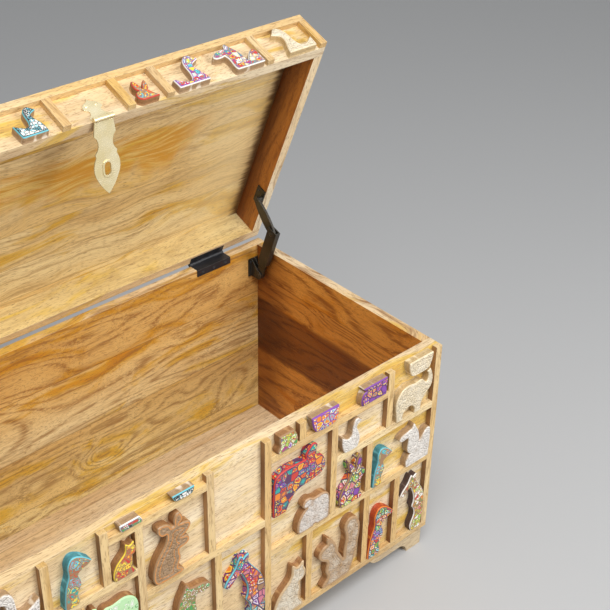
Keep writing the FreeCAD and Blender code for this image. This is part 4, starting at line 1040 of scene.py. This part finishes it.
# %% [markdown]
# ## Studio
# The trunk stands on a pale grey studio floor that runs back into shade. A floor that ends would show its
# edge, so this one is far larger than the picture.

# %% Floor
FLOOR_HALF = 30
AWAY_X, AWAY_Y, AWAY_LENGTH = 0.683, 0.731, 3.2
# The grey is painted a little lighter further back: painted light against the lamps' falloff.
GREYS = ((0.0, 0.49), (0.16, 0.50), (0.33, 0.51), (0.6, 0.52), (0.95, 0.52))

floor_material, start = material("studio_floor")
floor_x, floor_y = start.node("ShaderNodeTexCoord", {}, {}, "Object").axes()[:2]
speck = start.noise(floor_x * 300, floor_y * 300, 0.0, 2)
away = (floor_x * AWAY_X + floor_y * AWAY_Y + speck * 0.02) / AWAY_LENGTH
floor_colour = away.ramp([(place, (grey, grey, grey)) for place, grey in GREYS])
connect(floor_material, floor_colour, 0.75 + speck * 0.1, speck, 0.0001, strength=0.2)
floor_mesh = bpy.data.meshes.new("studio_floor")
corners = [(x * FLOOR_HALF, y * FLOOR_HALF, 0) for x, y in ((-1, -1), (1, -1), (1, 1), (-1, 1))]
floor_mesh.from_pydata(corners, [], [(0, 1, 2, 3)])
floor_mesh.materials.append(floor_material)
floor = bpy.data.objects.new("studio_floor", floor_mesh)
bpy.context.scene.collection.objects.link(floor)
print("floor", 2 * FLOOR_HALF, "metres wide")

# %% [markdown]
# One large soft lamp stands to the front and right, so that faces that look to the left fall into shade. A
# second one hangs over the front, and the world gives an even fill. Metal would mirror the plain world as
# a dull grey, so mirrored rays find a brighter one.

# %% Lamps and world
FILL, MIRRORED_EXTRA = 0.34, 0.5


def soft_lamp(name, place, target, size, watts):
    """A square area lamp at a place, turned to a target."""
    lamp = bpy.data.lights.new(name, "AREA")
    lamp.size, lamp.energy = size, watts
    holder = bpy.data.objects.new(name, lamp)
    holder.location = place
    holder.rotation_euler = (Vector(target) - Vector(place)).to_track_quat("-Z", "Y").to_euler()
    bpy.context.scene.collection.objects.link(holder)


soft_lamp("key_lamp", place=(1.2, -2.8, 1.9), target=(0, 0, 0.4), size=1.6, watts=64)
soft_lamp("top_lamp", place=(-0.5, -1.1, 2.7), target=(0, 0, 0.3), size=1.2, watts=51)
world = bpy.data.worlds.new("studio_world")
world.use_nodes = True
background = world.node_tree.nodes["Background"]
background.inputs["Color"].default_value = (0.96, 0.98, 1.0, 1)
mirrored = Wire(world.node_tree).node("ShaderNodeLightPath", {}, {}, "Is Glossy Ray")
strength = mirrored * MIRRORED_EXTRA + FILL
world.node_tree.links.new(strength.output, background.inputs["Strength"])
bpy.context.scene.world = world
print(len(bpy.data.lights), "lamps, and a fill of", FILL)

# %% [markdown]
# The camera looks down on the open trunk from the left front. Its place, its turn and its lens were fitted
# to the trunk's straight edges in a photograph, so its numbers are not round. Two directions, to the right
# and up in the picture, give the turn; the third one is square to both.

# %% Camera
CAMERA_PLACE = (-0.8553, -1.2759, 1.5847)
CAMERA_RIGHT = Vector((0.738286, -0.674267, 0.017246))
CAMERA_UP = Vector((0.357960, 0.413362, 0.837255))
SENSOR_MM, LENS_MM = 36, 72.18

camera_data = bpy.data.cameras.new("camera")
camera_data.sensor_width, camera_data.lens = SENSOR_MM, LENS_MM
camera = bpy.data.objects.new("camera", camera_data)
camera_turn = Matrix((CAMERA_RIGHT, CAMERA_UP, CAMERA_RIGHT.cross(CAMERA_UP))).transposed().to_4x4()
camera.matrix_world = Matrix.Translation(CAMERA_PLACE) @ camera_turn
bpy.context.scene.collection.objects.link(camera)
bpy.context.scene.camera = camera
bpy.context.scene.view_settings.view_transform = "Standard"
print("camera with a lens of", LENS_MM, "millimetres")

# %% [markdown]
